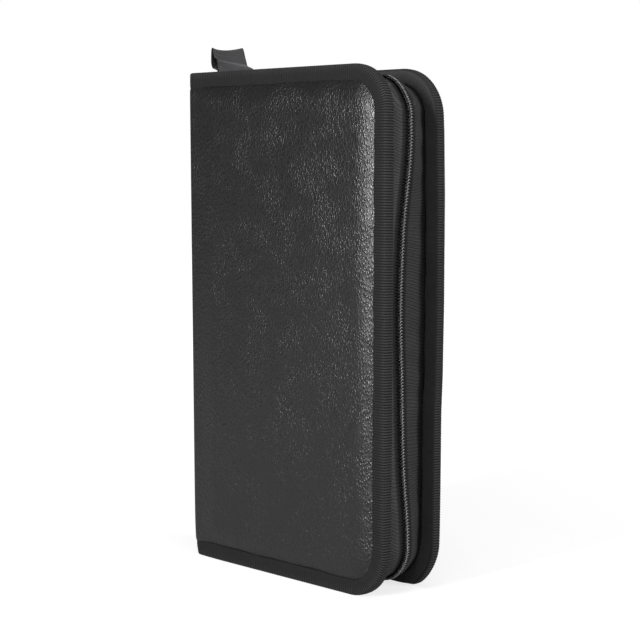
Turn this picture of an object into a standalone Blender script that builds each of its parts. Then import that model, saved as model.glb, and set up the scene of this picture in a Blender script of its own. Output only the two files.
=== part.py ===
"""Tall zip-around disc wallet: two hard padded covers, a spine, a zip on three sides and sleeves.

Metres, +Z up. The case stands closed on its bottom edges. X runs from the spine to the zip side,
Y from the front cover to the back cover, and the origin is under the middle of the case.
Both covers are drawn once, as the front one, and mirrored in Y for the back.
"""
import math

import bmesh
import bpy
from mathutils import Matrix, Vector

MM = 0.001
FRONT, BACK = -1, 1

# Driving sizes of the closed case
WIDTH = 159 * MM                # spine to zip side
HEIGHT = 290 * MM               # bottom edge to top edge of the covers
DEPTH = 46.0 * MM               # front binding face to back binding face
FREE_CORNER_RADIUS = 26 * MM    # rounded corners on the zip side
FOLD_RADIUS = 4 * MM            # upright corners where the covers fold on the spine
GAP = 0.3 * MM                  # clearance kept between touching pieces

# Layers of a cover, from the outside in
BINDING_THICK = 0.6 * MM
SKIN_THICK = 0.8 * MM
PADDING_THICK = 1.0 * MM
BOARD_THICK = 1.2 * MM
LINING_THICK = 0.4 * MM
TAPE_THICK = 0.5 * MM
SKIN_DEPTH = BINDING_THICK + GAP
PADDING_DEPTH = SKIN_DEPTH + SKIN_THICK + GAP
BOARD_DEPTH = PADDING_DEPTH + PADDING_THICK + GAP
LINING_DEPTH = BOARD_DEPTH + BOARD_THICK + GAP
TAPE_DEPTH = LINING_DEPTH + LINING_THICK + GAP
FLANGE_DEPTH = TAPE_DEPTH + TAPE_THICK + GAP
COVER_THICK = FLANGE_DEPTH + BINDING_THICK

# Layers of the spine, which has no padding and no zip tape
SPINE_BOARD_DEPTH = PADDING_DEPTH
SPINE_LINING_DEPTH = SPINE_BOARD_DEPTH + BOARD_THICK + GAP
SPINE_FLANGE_DEPTH = SPINE_LINING_DEPTH + LINING_THICK + GAP
SPINE_THICK = SPINE_FLANGE_DEPTH + BINDING_THICK

# Binding tape round the rim
BINDING_WIDTH = 9 * MM
BINDING_CORNER = 1.0 * MM       # rounding of the binding over the edge of the cover
RIM_ROOM = 0.5 * MM             # room between the binding and the raw edges inside it
CONTENT_INSET = BINDING_THICK + RIM_ROOM
LAYER_INSET = CONTENT_INSET + GAP

# Padded panel
PANEL_RISE = 0.7 * MM           # how far the panel stands out past the binding
ROLL_WIDTH = 9 * MM             # width over which the panel rolls up from the binding
ROLL_STEPS = 4

# Fold between cover and spine
FOLD_REACH = 8 * MM             # from the sharp corner to where the boards start
MITRE_GAP = GAP / 2
FOLD_STEPS = 3
CORNER_STEPS = 8

# Zip
COIL_DIAMETER = 1.9 * MM        # one side of the nylon coil
WEDGE_THICK = 0.8 * MM          # divider of the slider, between the two coils
SLOT_HALF = WEDGE_THICK / 2 + GAP
TAPE_START = 9.5 * MM           # from the spine face to the ends of the tapes
TAPE_BEND = 0.8 * MM
STOP_START = 17.7 * MM          # from the spine face to the top and bottom stops
STOP_LENGTH = 1.8 * MM
RUN_INSET = 6.0 * MM            # zip below the rim along the straight top and bottom runs
SIDE_STATIONS = 14
RUN_STATIONS = 4
COIL_STATIONS = 18
COIL_ROUNDNESS = 2
WEB_STEPS = 4
# The zip waves in and out round the case. Runs and corners are counted from the spine end of the
# top run: 0 to 1 top, 1 to 2 top corner, 2 to 3 side, 3 to 4 bottom corner, 4 to 5 bottom.
ZIP_WAVE = (
    (0.0, RUN_INSET),
    (0.9, RUN_INSET),
    (1.2, 5.0 * MM),
    (1.6, 5.4 * MM),
    (2.05, 4.2 * MM),
    (2.28, 9.6 * MM),
    (2.45, 11.0 * MM),
    (2.62, 9.6 * MM),
    (2.8, 8.0 * MM),
    (3.0, 4.2 * MM),
    (3.5, 5.0 * MM),
    (4.1, RUN_INSET),
    (5.0, RUN_INSET),
)

# Slider and pull
SLIDER_LENGTH = 9 * MM
SLIDER_HALF_WIDTH = 3.7 * MM
SLIDER_NARROW = 2.9 * MM        # half width at the end where the closed chain leaves
SLIDER_SHOULDER = 0.45          # share of its length before it narrows
SLIDER_CHAMFER = 1.0 * MM
SLIDER_PLATE = 1.0 * MM
SLIDER_BASE = 0.8 * MM
WEDGE_LENGTH = 2.5 * MM
PIN_SHARE = 0.4                 # the pin's place along the slider
PIN_DIAMETER = 1.0 * MM
EYE_DIAMETER = 3.0 * MM
EYE_HALF_WIDTH = 1.3 * MM
NECK_HALF_WIDTH = 1.1 * MM
EAR_THICK = 0.7 * MM
EAR_LENGTH = 2.4 * MM
PULL_LENGTH = 24 * MM
PULL_HALF_WIDTH = 2.75 * MM
PULL_FLARE = 2.0 * MM           # length over which the neck widens
PULL_THICK = 1.2 * MM
PULL_HOLE = 2.4 * MM
TIP_STEPS = 6
ROD_SEGMENTS = 16
EDGE_SEGMENTS = 2

# Ribbon tab over the spine end of the zip
TAB_WIDTH = 26 * MM
TAB_THICK = 1.6 * MM            # ribbon doubled on itself
TAB_RISE = 17 * MM              # above the top edge of the covers
TAB_LEAN = 6.5 * MM             # from the spine face to its top edge
TAB_SAG = 1.3 * MM              # hollow of its top edge
TAB_FOOT = 4.0 * MM             # end of its sewn foot, back from the stops
TAB_FOOT_GAP = 3 * GAP          # between the foot and the stops
TAB_WAY = (                     # its way up: from the ends of the tapes, above the top edge
    (0.5 * MM, -2.0 * MM),
    (-1.0 * MM, 3.0 * MM),
    (-2.0 * MM, 8.0 * MM),
)
TAB_TURN = (2.0 * MM, 1.5 * MM) # first bend: past the ends of the tapes, above the foot
TAB_COLUMNS = 6

# Disc sleeves
PAGE_COUNT = 24
PAGE_THICK = 0.7 * MM
PAGE_GROOVE = 0.35 * MM
PAGE_GROOVE_DEPTH = 5 * MM
SLEEVE_INSET = 14 * MM          # from the top and bottom edges of the case
SLEEVE_FREE_INSET = 15 * MM     # from the zip side
STRIP_THICK = 0.8 * MM
STRIP_WIDTH = 10 * MM           # its flanges on the first and last page

# Places worked out from the sizes
SPINE_X = -WIDTH / 2
FREE_X = WIDTH / 2
COIL_RADIUS = COIL_DIAMETER / 2
COIL_Y = SLOT_HALF + COIL_RADIUS
COIL_Z = HEIGHT - RUN_INSET
TAPE_TOP = COIL_Z - COIL_RADIUS - GAP
ROOT_INSET = BINDING_WIDTH + GAP + TAPE_THICK
SLIDER_X = SPINE_X + STOP_START + STOP_LENGTH + GAP
COIL_X = SPINE_X + STOP_START + STOP_LENGTH + GAP
PLATE_Z = COIL_Z + COIL_RADIUS + GAP
PIN_X = SLIDER_X + SLIDER_LENGTH * PIN_SHARE
PIN_Z = PLATE_Z + SLIDER_PLATE + GAP + EYE_DIAMETER / 2
BLOCK_HALF = (PAGE_COUNT * (PAGE_THICK + PAGE_GROOVE) - PAGE_GROOVE) / 2
BLOCK_X = SPINE_X + SPINE_LINING_DEPTH + LINING_THICK + GAP + STRIP_THICK + GAP

# Which side of its open sheet each wall lies on
BINDING_INWARD = -1
TAPE_OUTWARD = 1
TAB_UPWARD = -1
STRIP_OUTWARD = 1

# Colours, as linear values
LEATHER = (0.030, 0.030, 0.031)
GROSGRAIN = (0.026, 0.026, 0.027)
TWILL = (0.022, 0.022, 0.023)
NYLON = (0.045, 0.045, 0.047)
SATIN = (0.050, 0.050, 0.052)
FOAM = (0.25, 0.25, 0.26)
BOARD = (0.32, 0.27, 0.21)
LINING = (0.020, 0.020, 0.021)
SLEEVE = (0.36, 0.37, 0.39)
METAL = (0.045, 0.045, 0.048)


def material(name, color, roughness, metallic=0.0):
    mat = bpy.data.materials.new(name)
    mat.use_nodes = True
    shader = mat.node_tree.nodes["Principled BSDF"]
    shader.inputs["Base Color"].default_value = (*color, 1.0)
    shader.inputs["Roughness"].default_value = roughness
    shader.inputs["Metallic"].default_value = metallic
    mat.diffuse_color = (*color, 1.0)
    return mat


def add_object(name, data, mat, collection):
    data.materials.append(mat)
    obj = bpy.data.objects.new(name, data)
    collection.objects.link(obj)
    return obj


def mesh_from(bm, name):
    mesh = bpy.data.meshes.new(name)
    bm.to_mesh(mesh)
    bm.free()
    return mesh


def put_on_side(bm, side):
    """Leave a piece drawn for the front cover where it is, or mirror it to the back one."""
    if side == BACK:
        bmesh.ops.transform(bm, matrix=Matrix.Scale(-1, 4, (0, 1, 0)), verts=bm.verts)
        bmesh.ops.reverse_faces(bm, faces=bm.faces)


def thicken(obj, thickness, offset):
    solid = obj.modifiers.new("wall", "SOLIDIFY")
    solid.thickness = thickness
    solid.offset = offset
    solid.use_even_offset = True


def laid_grid(stations, profile):
    """A grid whose rows follow the stations and whose columns follow the profile."""
    bm = bmesh.new()
    rows, columns = len(stations) - 1, len(profile) - 1
    bmesh.ops.create_grid(bm, x_segments=rows, y_segments=columns, size=1)
    for vert in bm.verts:
        row = round((vert.co.x + 1) / 2 * rows)
        column = round((vert.co.y + 1) / 2 * columns)
        vert.co = stations[row](*profile[column])
    return bm


def arc(steps):
    return [step / steps for step in range(steps + 1)]


def front_y(depth):
    """Place in Y of a layer at this depth below the front binding face."""
    return -(DEPTH / 2 - depth)


# The rim of a cover, as stations that place a point by its inset from the edge and its depth

def fold_station(share, height_at):
    """A station in the fold: share 0 is on the mitre and 1 is where the flat cover starts."""
    def place(inset, depth):
        radius = FOLD_RADIUS - depth
        turned = min(share * FOLD_STEPS / (FOLD_STEPS - 1), 1)
        if radius > 0 and turned < 1:
            angle = math.pi / 4 * (1 + turned)
            x = FOLD_RADIUS - radius * math.cos(angle)
            y = FOLD_RADIUS - radius * math.sin(angle)
        else:
            start = max(FOLD_RADIUS, depth) if radius > 0 else depth
            along = (share * FOLD_STEPS - (FOLD_STEPS - 1)) if radius > 0 else share
            x = start + (FOLD_REACH - start) * along
            y = depth
        if share == 0:
            x += MITRE_GAP * math.sqrt(2)
        return Vector((SPINE_X + x, front_y(y), height_at(inset)))
    return place


def run_station(x, height_at):
    return lambda inset, depth: Vector((x, front_y(depth), height_at(inset)))


def corner_station(angle, centre_z):
    def place(inset, depth):
        reach = FREE_CORNER_RADIUS - inset
        x = FREE_X - FREE_CORNER_RADIUS + reach * math.cos(angle)
        return Vector((x, front_y(depth), centre_z + reach * math.sin(angle)))
    return place


def side_station(z):
    return lambda inset, depth: Vector((FREE_X - inset, front_y(depth), z))


def from_top(inset):
    return HEIGHT - inset


def from_bottom(inset):
    return inset


def rim_stations(start_x, run_steps, side_steps):
    """Stations with their place along the rim, from a start on the top run to the bottom run."""
    corner_x = FREE_X - FREE_CORNER_RADIUS
    top_z = HEIGHT - FREE_CORNER_RADIUS
    found = []
    for t in arc(run_steps)[:-1]:
        found.append((t, run_station(start_x + (corner_x - start_x) * t, from_top)))
    for t in arc(CORNER_STEPS)[:-1]:
        found.append((1 + t, corner_station(math.pi / 2 * (1 - t), top_z)))
    for t in arc(side_steps)[:-1]:
        found.append((2 + t, side_station(top_z + (FREE_CORNER_RADIUS - top_z) * t)))
    for t in arc(CORNER_STEPS)[:-1]:
        found.append((3 + t, corner_station(-math.pi / 2 * t, FREE_CORNER_RADIUS)))
    for t in arc(run_steps):
        found.append((4 + t, run_station(corner_x + (start_x - corner_x) * t, from_bottom)))
    return found


def cover_outline(inset, start_x):
    """Outline of a cover's layer in X and Z, anticlockwise seen from the front."""
    corner_x = FREE_X - FREE_CORNER_RADIUS
    reach = FREE_CORNER_RADIUS - inset
    points = [(start_x, inset)]
    for centre_z, first in ((FREE_CORNER_RADIUS, -math.pi / 2), (HEIGHT - FREE_CORNER_RADIUS, 0)):
        for t in arc(CORNER_STEPS):
            angle = first + math.pi / 2 * t
            points.append((corner_x + reach * math.cos(angle), centre_z + reach * math.sin(angle)))
    points.append((start_x, HEIGHT - inset))
    return points


# Covers

def crowned_sheet(outline_inset, start_x, depth):
    """The padded panel's surface: flat under the binding, rolling up to a raised middle."""
    bm = bmesh.new()
    corners = [bm.verts.new((x, front_y(depth), z)) for x, z in cover_outline(outline_inset, start_x)]
    middle = bm.faces.new(corners)
    middle.normal_update()
    rise = SKIN_DEPTH + PANEL_RISE
    flat = BINDING_WIDTH + GAP - outline_inset
    bmesh.ops.inset_individual(bm, faces=[middle], thickness=flat, depth=0, use_even_offset=True)
    done = 0
    for t in arc(ROLL_STEPS)[1:]:
        height = rise * math.sin(t * math.pi / 2)
        bmesh.ops.inset_individual(bm, faces=[middle], thickness=ROLL_WIDTH / ROLL_STEPS,
                                   depth=height - done, use_even_offset=True)
        done = height
    return bm


def fold_edge(bm, edges, centre, turn):
    """Carry an upright edge round the fold to the mitre."""
    sweep = math.pi / 4 - math.asin(MITRE_GAP / (FOLD_RADIUS - SKIN_DEPTH))
    bmesh.ops.spin(bm, geom=edges, cent=centre, axis=(0, 0, turn), angle=sweep, steps=FOLD_STEPS)


def upright_edges(bm, x, y):
    return [edge for edge in bm.edges
            if all(abs(v.co.x - x) < GAP / 10 and abs(v.co.y - y) < GAP / 10 for v in edge.verts)]


def cover_skin(name, side, mat, collection):
    start_x = SPINE_X + FOLD_RADIUS
    bm = crowned_sheet(CONTENT_INSET, start_x, SKIN_DEPTH)
    fold_edge(bm, upright_edges(bm, start_x, front_y(SKIN_DEPTH)),
              (start_x, front_y(FOLD_RADIUS), 0), -1)
    bmesh.ops.recalc_face_normals(bm, faces=bm.faces)
    if sum(face.normal.y for face in bm.faces) > 0:
        bmesh.ops.reverse_faces(bm, faces=bm.faces)
    put_on_side(bm, side)
    skin = add_object(f"{name}_skin", mesh_from(bm, f"{name}_skin"), mat, collection)
    thicken(skin, SKIN_THICK, -1)
    return skin


def cover_padding(name, side, mat, collection):
    start_x = SPINE_X + FOLD_RADIUS + GAP
    bm = crowned_sheet(LAYER_INSET, start_x, PADDING_DEPTH)
    rim = [edge for edge in bm.edges if edge.is_boundary]
    made = bmesh.ops.extrude_edge_only(bm, edges=rim)["geom"]
    moved = [item for item in made if isinstance(item, bmesh.types.BMVert)]
    bmesh.ops.translate(bm, verts=moved, vec=(0, PADDING_THICK, 0))
    bmesh.ops.contextual_create(bm, geom=[edge for edge in bm.edges if edge.is_boundary])
    bmesh.ops.recalc_face_normals(bm, faces=bm.faces)
    put_on_side(bm, side)
    return add_object(f"{name}_padding", mesh_from(bm, f"{name}_padding"), mat, collection)


def flat_outline(name, points, thickness, mat, collection):
    """A plate cut to an outline, standing in X and Z and centred on its own Y."""
    curve = bpy.data.curves.new(name, "CURVE")
    curve.dimensions = "2D"
    curve.fill_mode = "BOTH"
    curve.extrude = thickness / 2
    spline = curve.splines.new("POLY")
    spline.points.add(len(points) - 1)
    for point, (x, y) in zip(spline.points, points):
        point.co = (x, y, 0, 1)
    spline.use_cyclic_u = True
    plate = add_object(name, curve, mat, collection)
    plate.rotation_euler = (math.pi / 2, 0, 0)
    return plate


def cover_plate(name, side, start_x, depth, thickness, mat, collection):
    plate = flat_outline(name, cover_outline(LAYER_INSET, start_x), thickness, mat, collection)
    plate.location.y = -side * front_y(depth + thickness / 2)
    return plate


def binding_profile(thick):
    """Section of the binding: outer flange, rounded over the edge, inner flange."""
    turn = BINDING_CORNER * (1 - math.sqrt(0.5))
    return [
        (BINDING_WIDTH, 0), (BINDING_CORNER, 0), (turn, turn), (0, BINDING_CORNER),
        (0, thick - BINDING_CORNER), (turn, thick - turn), (BINDING_CORNER, thick),
        (BINDING_WIDTH, thick),
    ]


def cover_binding(name, side, mat, collection):
    """The binding round three sides of a cover, mitred at both folds."""
    folds = arc(FOLD_STEPS)[:-1]
    stations = [fold_station(t, from_top) for t in folds]
    stations += [place for _, place in rim_stations(SPINE_X + FOLD_REACH, 1, 1)]
    stations += [fold_station(t, from_bottom) for t in reversed(folds)]
    bm = laid_grid(stations, binding_profile(COVER_THICK))
    put_on_side(bm, side)
    binding = add_object(f"{name}_binding", mesh_from(bm, f"{name}_binding"), mat, collection)
    thicken(binding, BINDING_THICK, BINDING_INWARD)
    return binding


# Spine

def spine_skin(mat, collection):
    bm = bmesh.new()
    x = SPINE_X + SKIN_DEPTH
    flat_half = DEPTH / 2 - FOLD_RADIUS
    bmesh.ops.create_grid(bm, x_segments=1, y_segments=1, size=1)
    for vert in bm.verts:
        high = HEIGHT - CONTENT_INSET if vert.co.y > 0 else CONTENT_INSET
        vert.co = (x, flat_half * vert.co.x, high)
    for end in (FRONT, BACK):
        edges = upright_edges(bm, x, end * flat_half)
        fold_edge(bm, edges, (SPINE_X + FOLD_RADIUS, end * flat_half, 0), -end)
    bmesh.ops.recalc_face_normals(bm, faces=bm.faces)
    if sum(face.normal.x for face in bm.faces) > 0:
        bmesh.ops.reverse_faces(bm, faces=bm.faces)
    skin = add_object("spine_skin", mesh_from(bm, "spine_skin"), mat, collection)
    thicken(skin, SKIN_THICK, -1)
    return skin


def box(name, low, high, mat, collection, bevel=0.0):
    bm = bmesh.new()
    bmesh.ops.create_cube(bm, size=1)
    for vert in bm.verts:
        vert.co = [a if c < 0 else b for c, a, b in zip(vert.co, low, high)]
    made = add_object(name, mesh_from(bm, name), mat, collection)
    if bevel:
        edge = made.modifiers.new("edge", "BEVEL")
        edge.width = bevel
        edge.segments = EDGE_SEGMENTS
    return made


def spine_plate(name, depth, thickness, half, mat, collection):
    low = (SPINE_X + depth, -half, LAYER_INSET)
    high = (SPINE_X + depth + thickness, half, HEIGHT - LAYER_INSET)
    return box(name, low, high, mat, collection)


def spine_binding(name, height_at, mat, collection):
    """The binding over one end of the spine, from mitre to mitre."""
    def turned(place, end):
        def swapped(inset, depth):
            point = place(inset, depth)
            x = SPINE_X + point.y - front_y(0)
            return Vector((x, end * (DEPTH / 2 - (point.x - SPINE_X)), point.z))
        return swapped

    folds = [fold_station(t, height_at) for t in arc(FOLD_STEPS)]
    stations = [turned(place, FRONT) for place in folds]
    stations += [turned(place, BACK) for place in reversed(folds)]
    bm = laid_grid(stations, binding_profile(SPINE_THICK))
    binding = add_object(name, mesh_from(bm, name), mat, collection)
    thicken(binding, BINDING_THICK, -BINDING_INWARD if height_at is from_top else BINDING_INWARD)
    return binding


# Zip

def smooth_wave(place):
    """Inset of the zip at a place along the rim: a smooth curve through ZIP_WAVE, no overshoot."""
    knots = ZIP_WAVE
    slopes = [(b[1] - a[1]) / (b[0] - a[0]) for a, b in zip(knots, knots[1:])]
    tangents = [0.0]
    for before, after in zip(slopes, slopes[1:]):
        level = before * after <= 0
        tangents.append(0.0 if level else 2 * before * after / (before + after))
    tangents.append(0.0)
    index = max(i for i in range(len(slopes)) if knots[i][0] <= place or i == 0)
    (x0, y0), (x1, y1) = knots[index], knots[index + 1]
    span = x1 - x0
    t = (place - x0) / span
    return (y0 * (2 * t ** 3 - 3 * t ** 2 + 1) + y1 * (3 * t ** 2 - 2 * t ** 3)
            + tangents[index] * span * (t ** 3 - 2 * t ** 2 + t)
            + tangents[index + 1] * span * (t ** 3 - t ** 2))


def zip_tape(side, mat, collection):
    """The tape: sewn in under the binding, bent out of it, then a web across to the coil."""
    flat_depth = DEPTH / 2 - SLIDER_HALF_WIDTH - 2 * GAP
    web_depth = TAPE_DEPTH + TAPE_BEND + GAP
    edge_depth = DEPTH / 2 - SLOT_HALF
    turn = TAPE_BEND * (1 - math.sqrt(0.5))
    fixed = [(CONTENT_INSET, TAPE_DEPTH), (ROOT_INSET - TAPE_BEND, TAPE_DEPTH),
             (ROOT_INSET - turn, TAPE_DEPTH + turn)]
    web = [(t, web_depth + (flat_depth - web_depth) * t) for t in arc(WEB_STEPS)] + [(1, edge_depth)]
    profile = fixed + web

    def station(along, place):
        edge_inset = smooth_wave(along) + COIL_RADIUS + GAP + TAPE_THICK

        def lay(first, depth):
            if (first, depth) in fixed:
                return place(first, depth)
            eased = first * first * (3 - 2 * first)
            return place(ROOT_INSET + (edge_inset - ROOT_INSET) * eased, depth)
        return lay

    rim = rim_stations(SPINE_X + TAPE_START, RUN_STATIONS, SIDE_STATIONS)
    bm = laid_grid([station(along, place) for along, place in rim], profile)
    put_on_side(bm, side)
    name = "front_zip_tape" if side == FRONT else "back_zip_tape"
    tape = add_object(name, mesh_from(bm, name), mat, collection)
    thicken(tape, TAPE_THICK, TAPE_OUTWARD)
    return tape


def zip_coil(side, mat, collection):
    """One side of the coil, as the cord that its turns fill."""
    name = "front_zip_coil" if side == FRONT else "back_zip_coil"
    curve = bpy.data.curves.new(name, "CURVE")
    curve.dimensions = "3D"
    curve.bevel_depth = COIL_RADIUS
    curve.bevel_resolution = COIL_ROUNDNESS
    curve.use_fill_caps = True
    rim = rim_stations(COIL_X, RUN_STATIONS, COIL_STATIONS)
    points = [place(smooth_wave(along), 0) for along, place in rim]
    spline = curve.splines.new("POLY")
    spline.points.add(len(points) - 1)
    for point, at in zip(spline.points, points):
        point.co = (at.x, side * COIL_Y, at.z, 1)
    return add_object(name, curve, mat, collection)


def zip_stops(mat, collection):
    """A top stop on each tape, and one bottom stop that joins the two."""
    stop_low = SPINE_X + STOP_START
    stop_high = stop_low + STOP_LENGTH
    outer = SLOT_HALF + COIL_DIAMETER
    for side, name in ((FRONT, "front_zip_stop"), (BACK, "back_zip_stop")):
        low_y, high_y = sorted((side * SLOT_HALF, side * outer))
        box(name, (stop_low, low_y, TAPE_TOP + GAP), (stop_high, high_y, COIL_Z + COIL_RADIUS),
            mat, collection, bevel=GAP)
    box("bottom_zip_stop", (stop_low, -outer, RUN_INSET - COIL_RADIUS),
        (stop_high, outer, HEIGHT - TAPE_TOP - GAP), mat, collection, bevel=GAP)


def as_mesh(obj):
    """Turn a curve object into a welded mesh object of the same name and place."""
    depsgraph = bpy.context.evaluated_depsgraph_get()
    mesh = bpy.data.meshes.new_from_object(obj.evaluated_get(depsgraph))
    bm = bmesh.new()
    bm.from_mesh(mesh)
    bmesh.ops.remove_doubles(bm, verts=bm.verts, dist=MM / 1000)
    bm.to_mesh(mesh)
    bm.free()
    name, place = obj.name, obj.matrix_world.copy()
    homes = list(obj.users_collection)
    bpy.data.objects.remove(obj)
    made = bpy.data.objects.new(name, mesh)
    made.matrix_world = place
    for home in homes:
        home.objects.link(made)
    return made


def laid_plate(name, points, low_z, thickness, mat, collection):
    """A plate cut to an outline in X and Y, lying flat on low_z, as a mesh."""
    plate = flat_outline(name, points, thickness, mat, collection)
    plate.rotation_euler = (0, 0, 0)
    plate.location.z = low_z + thickness / 2
    bpy.context.view_layer.update()
    return as_mesh(plate)


def rod_along_y(name, x, z, diameter, half, mat, collection):
    bm = bmesh.new()
    bmesh.ops.create_cone(bm, cap_ends=True, segments=ROD_SEGMENTS, radius1=diameter / 2,
                          radius2=diameter / 2, depth=2 * half,
                          matrix=Matrix.Translation((x, 0, z)) @ Matrix.Rotation(math.pi / 2, 4, "X"))
    return add_object(name, mesh_from(bm, name), mat, collection)


def combine(target, tool, operation):
    """Join or cut with another object, which stays behind as a hidden wire."""
    tool.hide_render = True
    tool.display_type = "WIRE"
    step = target.modifiers.new(tool.name, "BOOLEAN")
    step.operation = operation
    step.solver = "EXACT"
    step.object = tool


def zip_slider(mat, collection, tools):
    end_x = SLIDER_X + SLIDER_LENGTH
    shoulder = SLIDER_X + SLIDER_LENGTH * SLIDER_SHOULDER
    outline = [
        (SLIDER_X + SLIDER_CHAMFER, -SLIDER_HALF_WIDTH), (shoulder, -SLIDER_HALF_WIDTH),
        (end_x, -SLIDER_NARROW), (end_x, SLIDER_NARROW), (shoulder, SLIDER_HALF_WIDTH),
        (SLIDER_X + SLIDER_CHAMFER, SLIDER_HALF_WIDTH),
        (SLIDER_X, SLIDER_HALF_WIDTH - SLIDER_CHAMFER),
        (SLIDER_X, -SLIDER_HALF_WIDTH + SLIDER_CHAMFER),
    ]
    base_z = TAPE_TOP - TAPE_THICK - GAP - SLIDER_BASE
    slider = laid_plate("zip_slider", outline, PLATE_Z, SLIDER_PLATE, mat, collection)
    base = laid_plate("slider_base", outline, base_z, SLIDER_BASE, mat, tools)
    overlap = SLIDER_BASE / 2
    wedge = box("slider_wedge", (SLIDER_X + GAP, -WEDGE_THICK / 2, base_z + overlap),
                (SLIDER_X + WEDGE_LENGTH, WEDGE_THICK / 2, PLATE_Z + overlap), mat, tools)
    lip_y = SLOT_HALF + COIL_DIAMETER + GAP
    lip = box("slider_lip", (SLIDER_X + SLIDER_CHAMFER, lip_y, TAPE_TOP + GAP),
              (shoulder, SLIDER_HALF_WIDTH - GAP / 2, PLATE_Z + overlap), mat, tools)
    ear_y = EYE_HALF_WIDTH + GAP
    pin = rod_along_y("slider_pin", PIN_X, PIN_Z, PIN_DIAMETER, ear_y + EAR_THICK / 2, mat, tools)
    shapes = [base, wedge, lip, pin]
    for end in (FRONT, BACK):
        low_y, high_y = sorted((end * ear_y, end * (ear_y + EAR_THICK)))
        name = "slider_front_ear" if end == FRONT else "slider_back_ear"
        shapes.append(box(name, (PIN_X - EAR_LENGTH / 2, low_y, PLATE_Z + overlap),
                          (PIN_X + EAR_LENGTH / 2, high_y, PIN_Z + PIN_DIAMETER), mat, tools))
    for shape in shapes:
        combine(slider, shape, "UNION")
    return slider


def zip_pull(mat, collection, tools):
    """The pull, hinged on the slider's pin and lying flat along the closed chain."""
    neck = EAR_LENGTH / 2 + 3 * GAP
    tip = PULL_LENGTH
    start = EYE_DIAMETER / 3
    shoulder = neck + PULL_FLARE
    outline = [(start, -NECK_HALF_WIDTH), (neck, -NECK_HALF_WIDTH), (shoulder, -PULL_HALF_WIDTH)]
    for t in arc(TIP_STEPS):
        angle = -math.pi / 2 + math.pi * t
        outline.append((tip - PULL_HALF_WIDTH * (1 - math.cos(angle)),
                        PULL_HALF_WIDTH * math.sin(angle)))
    outline += [(shoulder, PULL_HALF_WIDTH), (neck, NECK_HALF_WIDTH), (start, NECK_HALF_WIDTH)]
    pull = laid_plate("zip_pull", outline, -PULL_THICK / 2, PULL_THICK, mat, collection)
    pull.location = (PIN_X, 0, PIN_Z)
    eye = rod_along_y("pull_eye", PIN_X, PIN_Z, EYE_DIAMETER, EYE_HALF_WIDTH, mat, tools)
    bore = rod_along_y("pull_bore", PIN_X, PIN_Z, PIN_DIAMETER + 2 * GAP, 2 * EYE_HALF_WIDTH,
                       mat, tools)
    hole = rod_along_y("pull_hole", 0, 0, PULL_HOLE, PULL_THICK, mat, tools)
    hole.rotation_euler = (math.pi / 2, 0, 0)
    hole.location = (PIN_X + tip - PULL_HALF_WIDTH, 0, PIN_Z)
    combine(pull, eye, "UNION")
    combine(pull, bore, "DIFFERENCE")
    combine(pull, hole, "DIFFERENCE")
    return pull


def end_tab(mat, collection):
    """Doubled ribbon over the ends of the tapes: it comes out of the gap and stands up."""
    foot = TAPE_TOP + GAP
    route = [(STOP_START - TAB_FOOT_GAP, foot), (STOP_START - TAB_FOOT, foot),
             (TAPE_START + TAB_TURN[0], foot + TAB_TURN[1])]
    route += [(TAPE_START + out, HEIGHT + up) for out, up in TAB_WAY]
    route.append((TAB_LEAN, HEIGHT + TAB_RISE))
    across = [2 * t - 1 for t in arc(TAB_COLUMNS)]

    def station(out, z):
        hollow = TAB_SAG * max(z - HEIGHT, 0) / TAB_RISE
        return lambda share, _: Vector((SPINE_X + out, share * TAB_WIDTH / 2,
                                        z - hollow * (1 - share * share)))

    bm = laid_grid([station(out, z) for out, z in route], [(share, 0) for share in across])
    tab = add_object("zip_end_tab", mesh_from(bm, "zip_end_tab"), mat, collection)
    thicken(tab, TAB_THICK, TAB_UPWARD)
    return tab


# Disc sleeves

def sleeve_pages(mat, collection):
    """All the sleeves as one block, with their free edges parted by grooves."""
    free = FREE_X - SLEEVE_FREE_INSET
    outline = [(BLOCK_X, -BLOCK_HALF)]
    for page in range(PAGE_COUNT):
        low = -BLOCK_HALF + page * (PAGE_THICK + PAGE_GROOVE)
        high = low + PAGE_THICK
        if page:
            outline.append((free - PAGE_GROOVE_DEPTH, low))
        outline += [(free, low), (free, high)]
        if page < PAGE_COUNT - 1:
            outline.append((free - PAGE_GROOVE_DEPTH, high))
    outline.append((BLOCK_X, BLOCK_HALF))
    return laid_plate("disc_sleeves", outline, SLEEVE_INSET, HEIGHT - 2 * SLEEVE_INSET,
                      mat, collection)


def sleeve_strip(mat, collection):
    """Fabric strip round the spine edge of the sleeves, which holds them to the spine."""
    base = BLOCK_X - GAP
    wrap = BLOCK_HALF + GAP
    section = [(base + STRIP_WIDTH, -wrap), (base, -wrap), (base, wrap), (base + STRIP_WIDTH, wrap)]
    stations = [lambda x, y, z=z: Vector((x, y, z)) for z in (SLEEVE_INSET, HEIGHT - SLEEVE_INSET)]
    bm = laid_grid(stations, section)
    strip = add_object("sleeve_strip", mesh_from(bm, "sleeve_strip"), mat, collection)
    thicken(strip, STRIP_THICK, STRIP_OUTWARD)
    return strip


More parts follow.
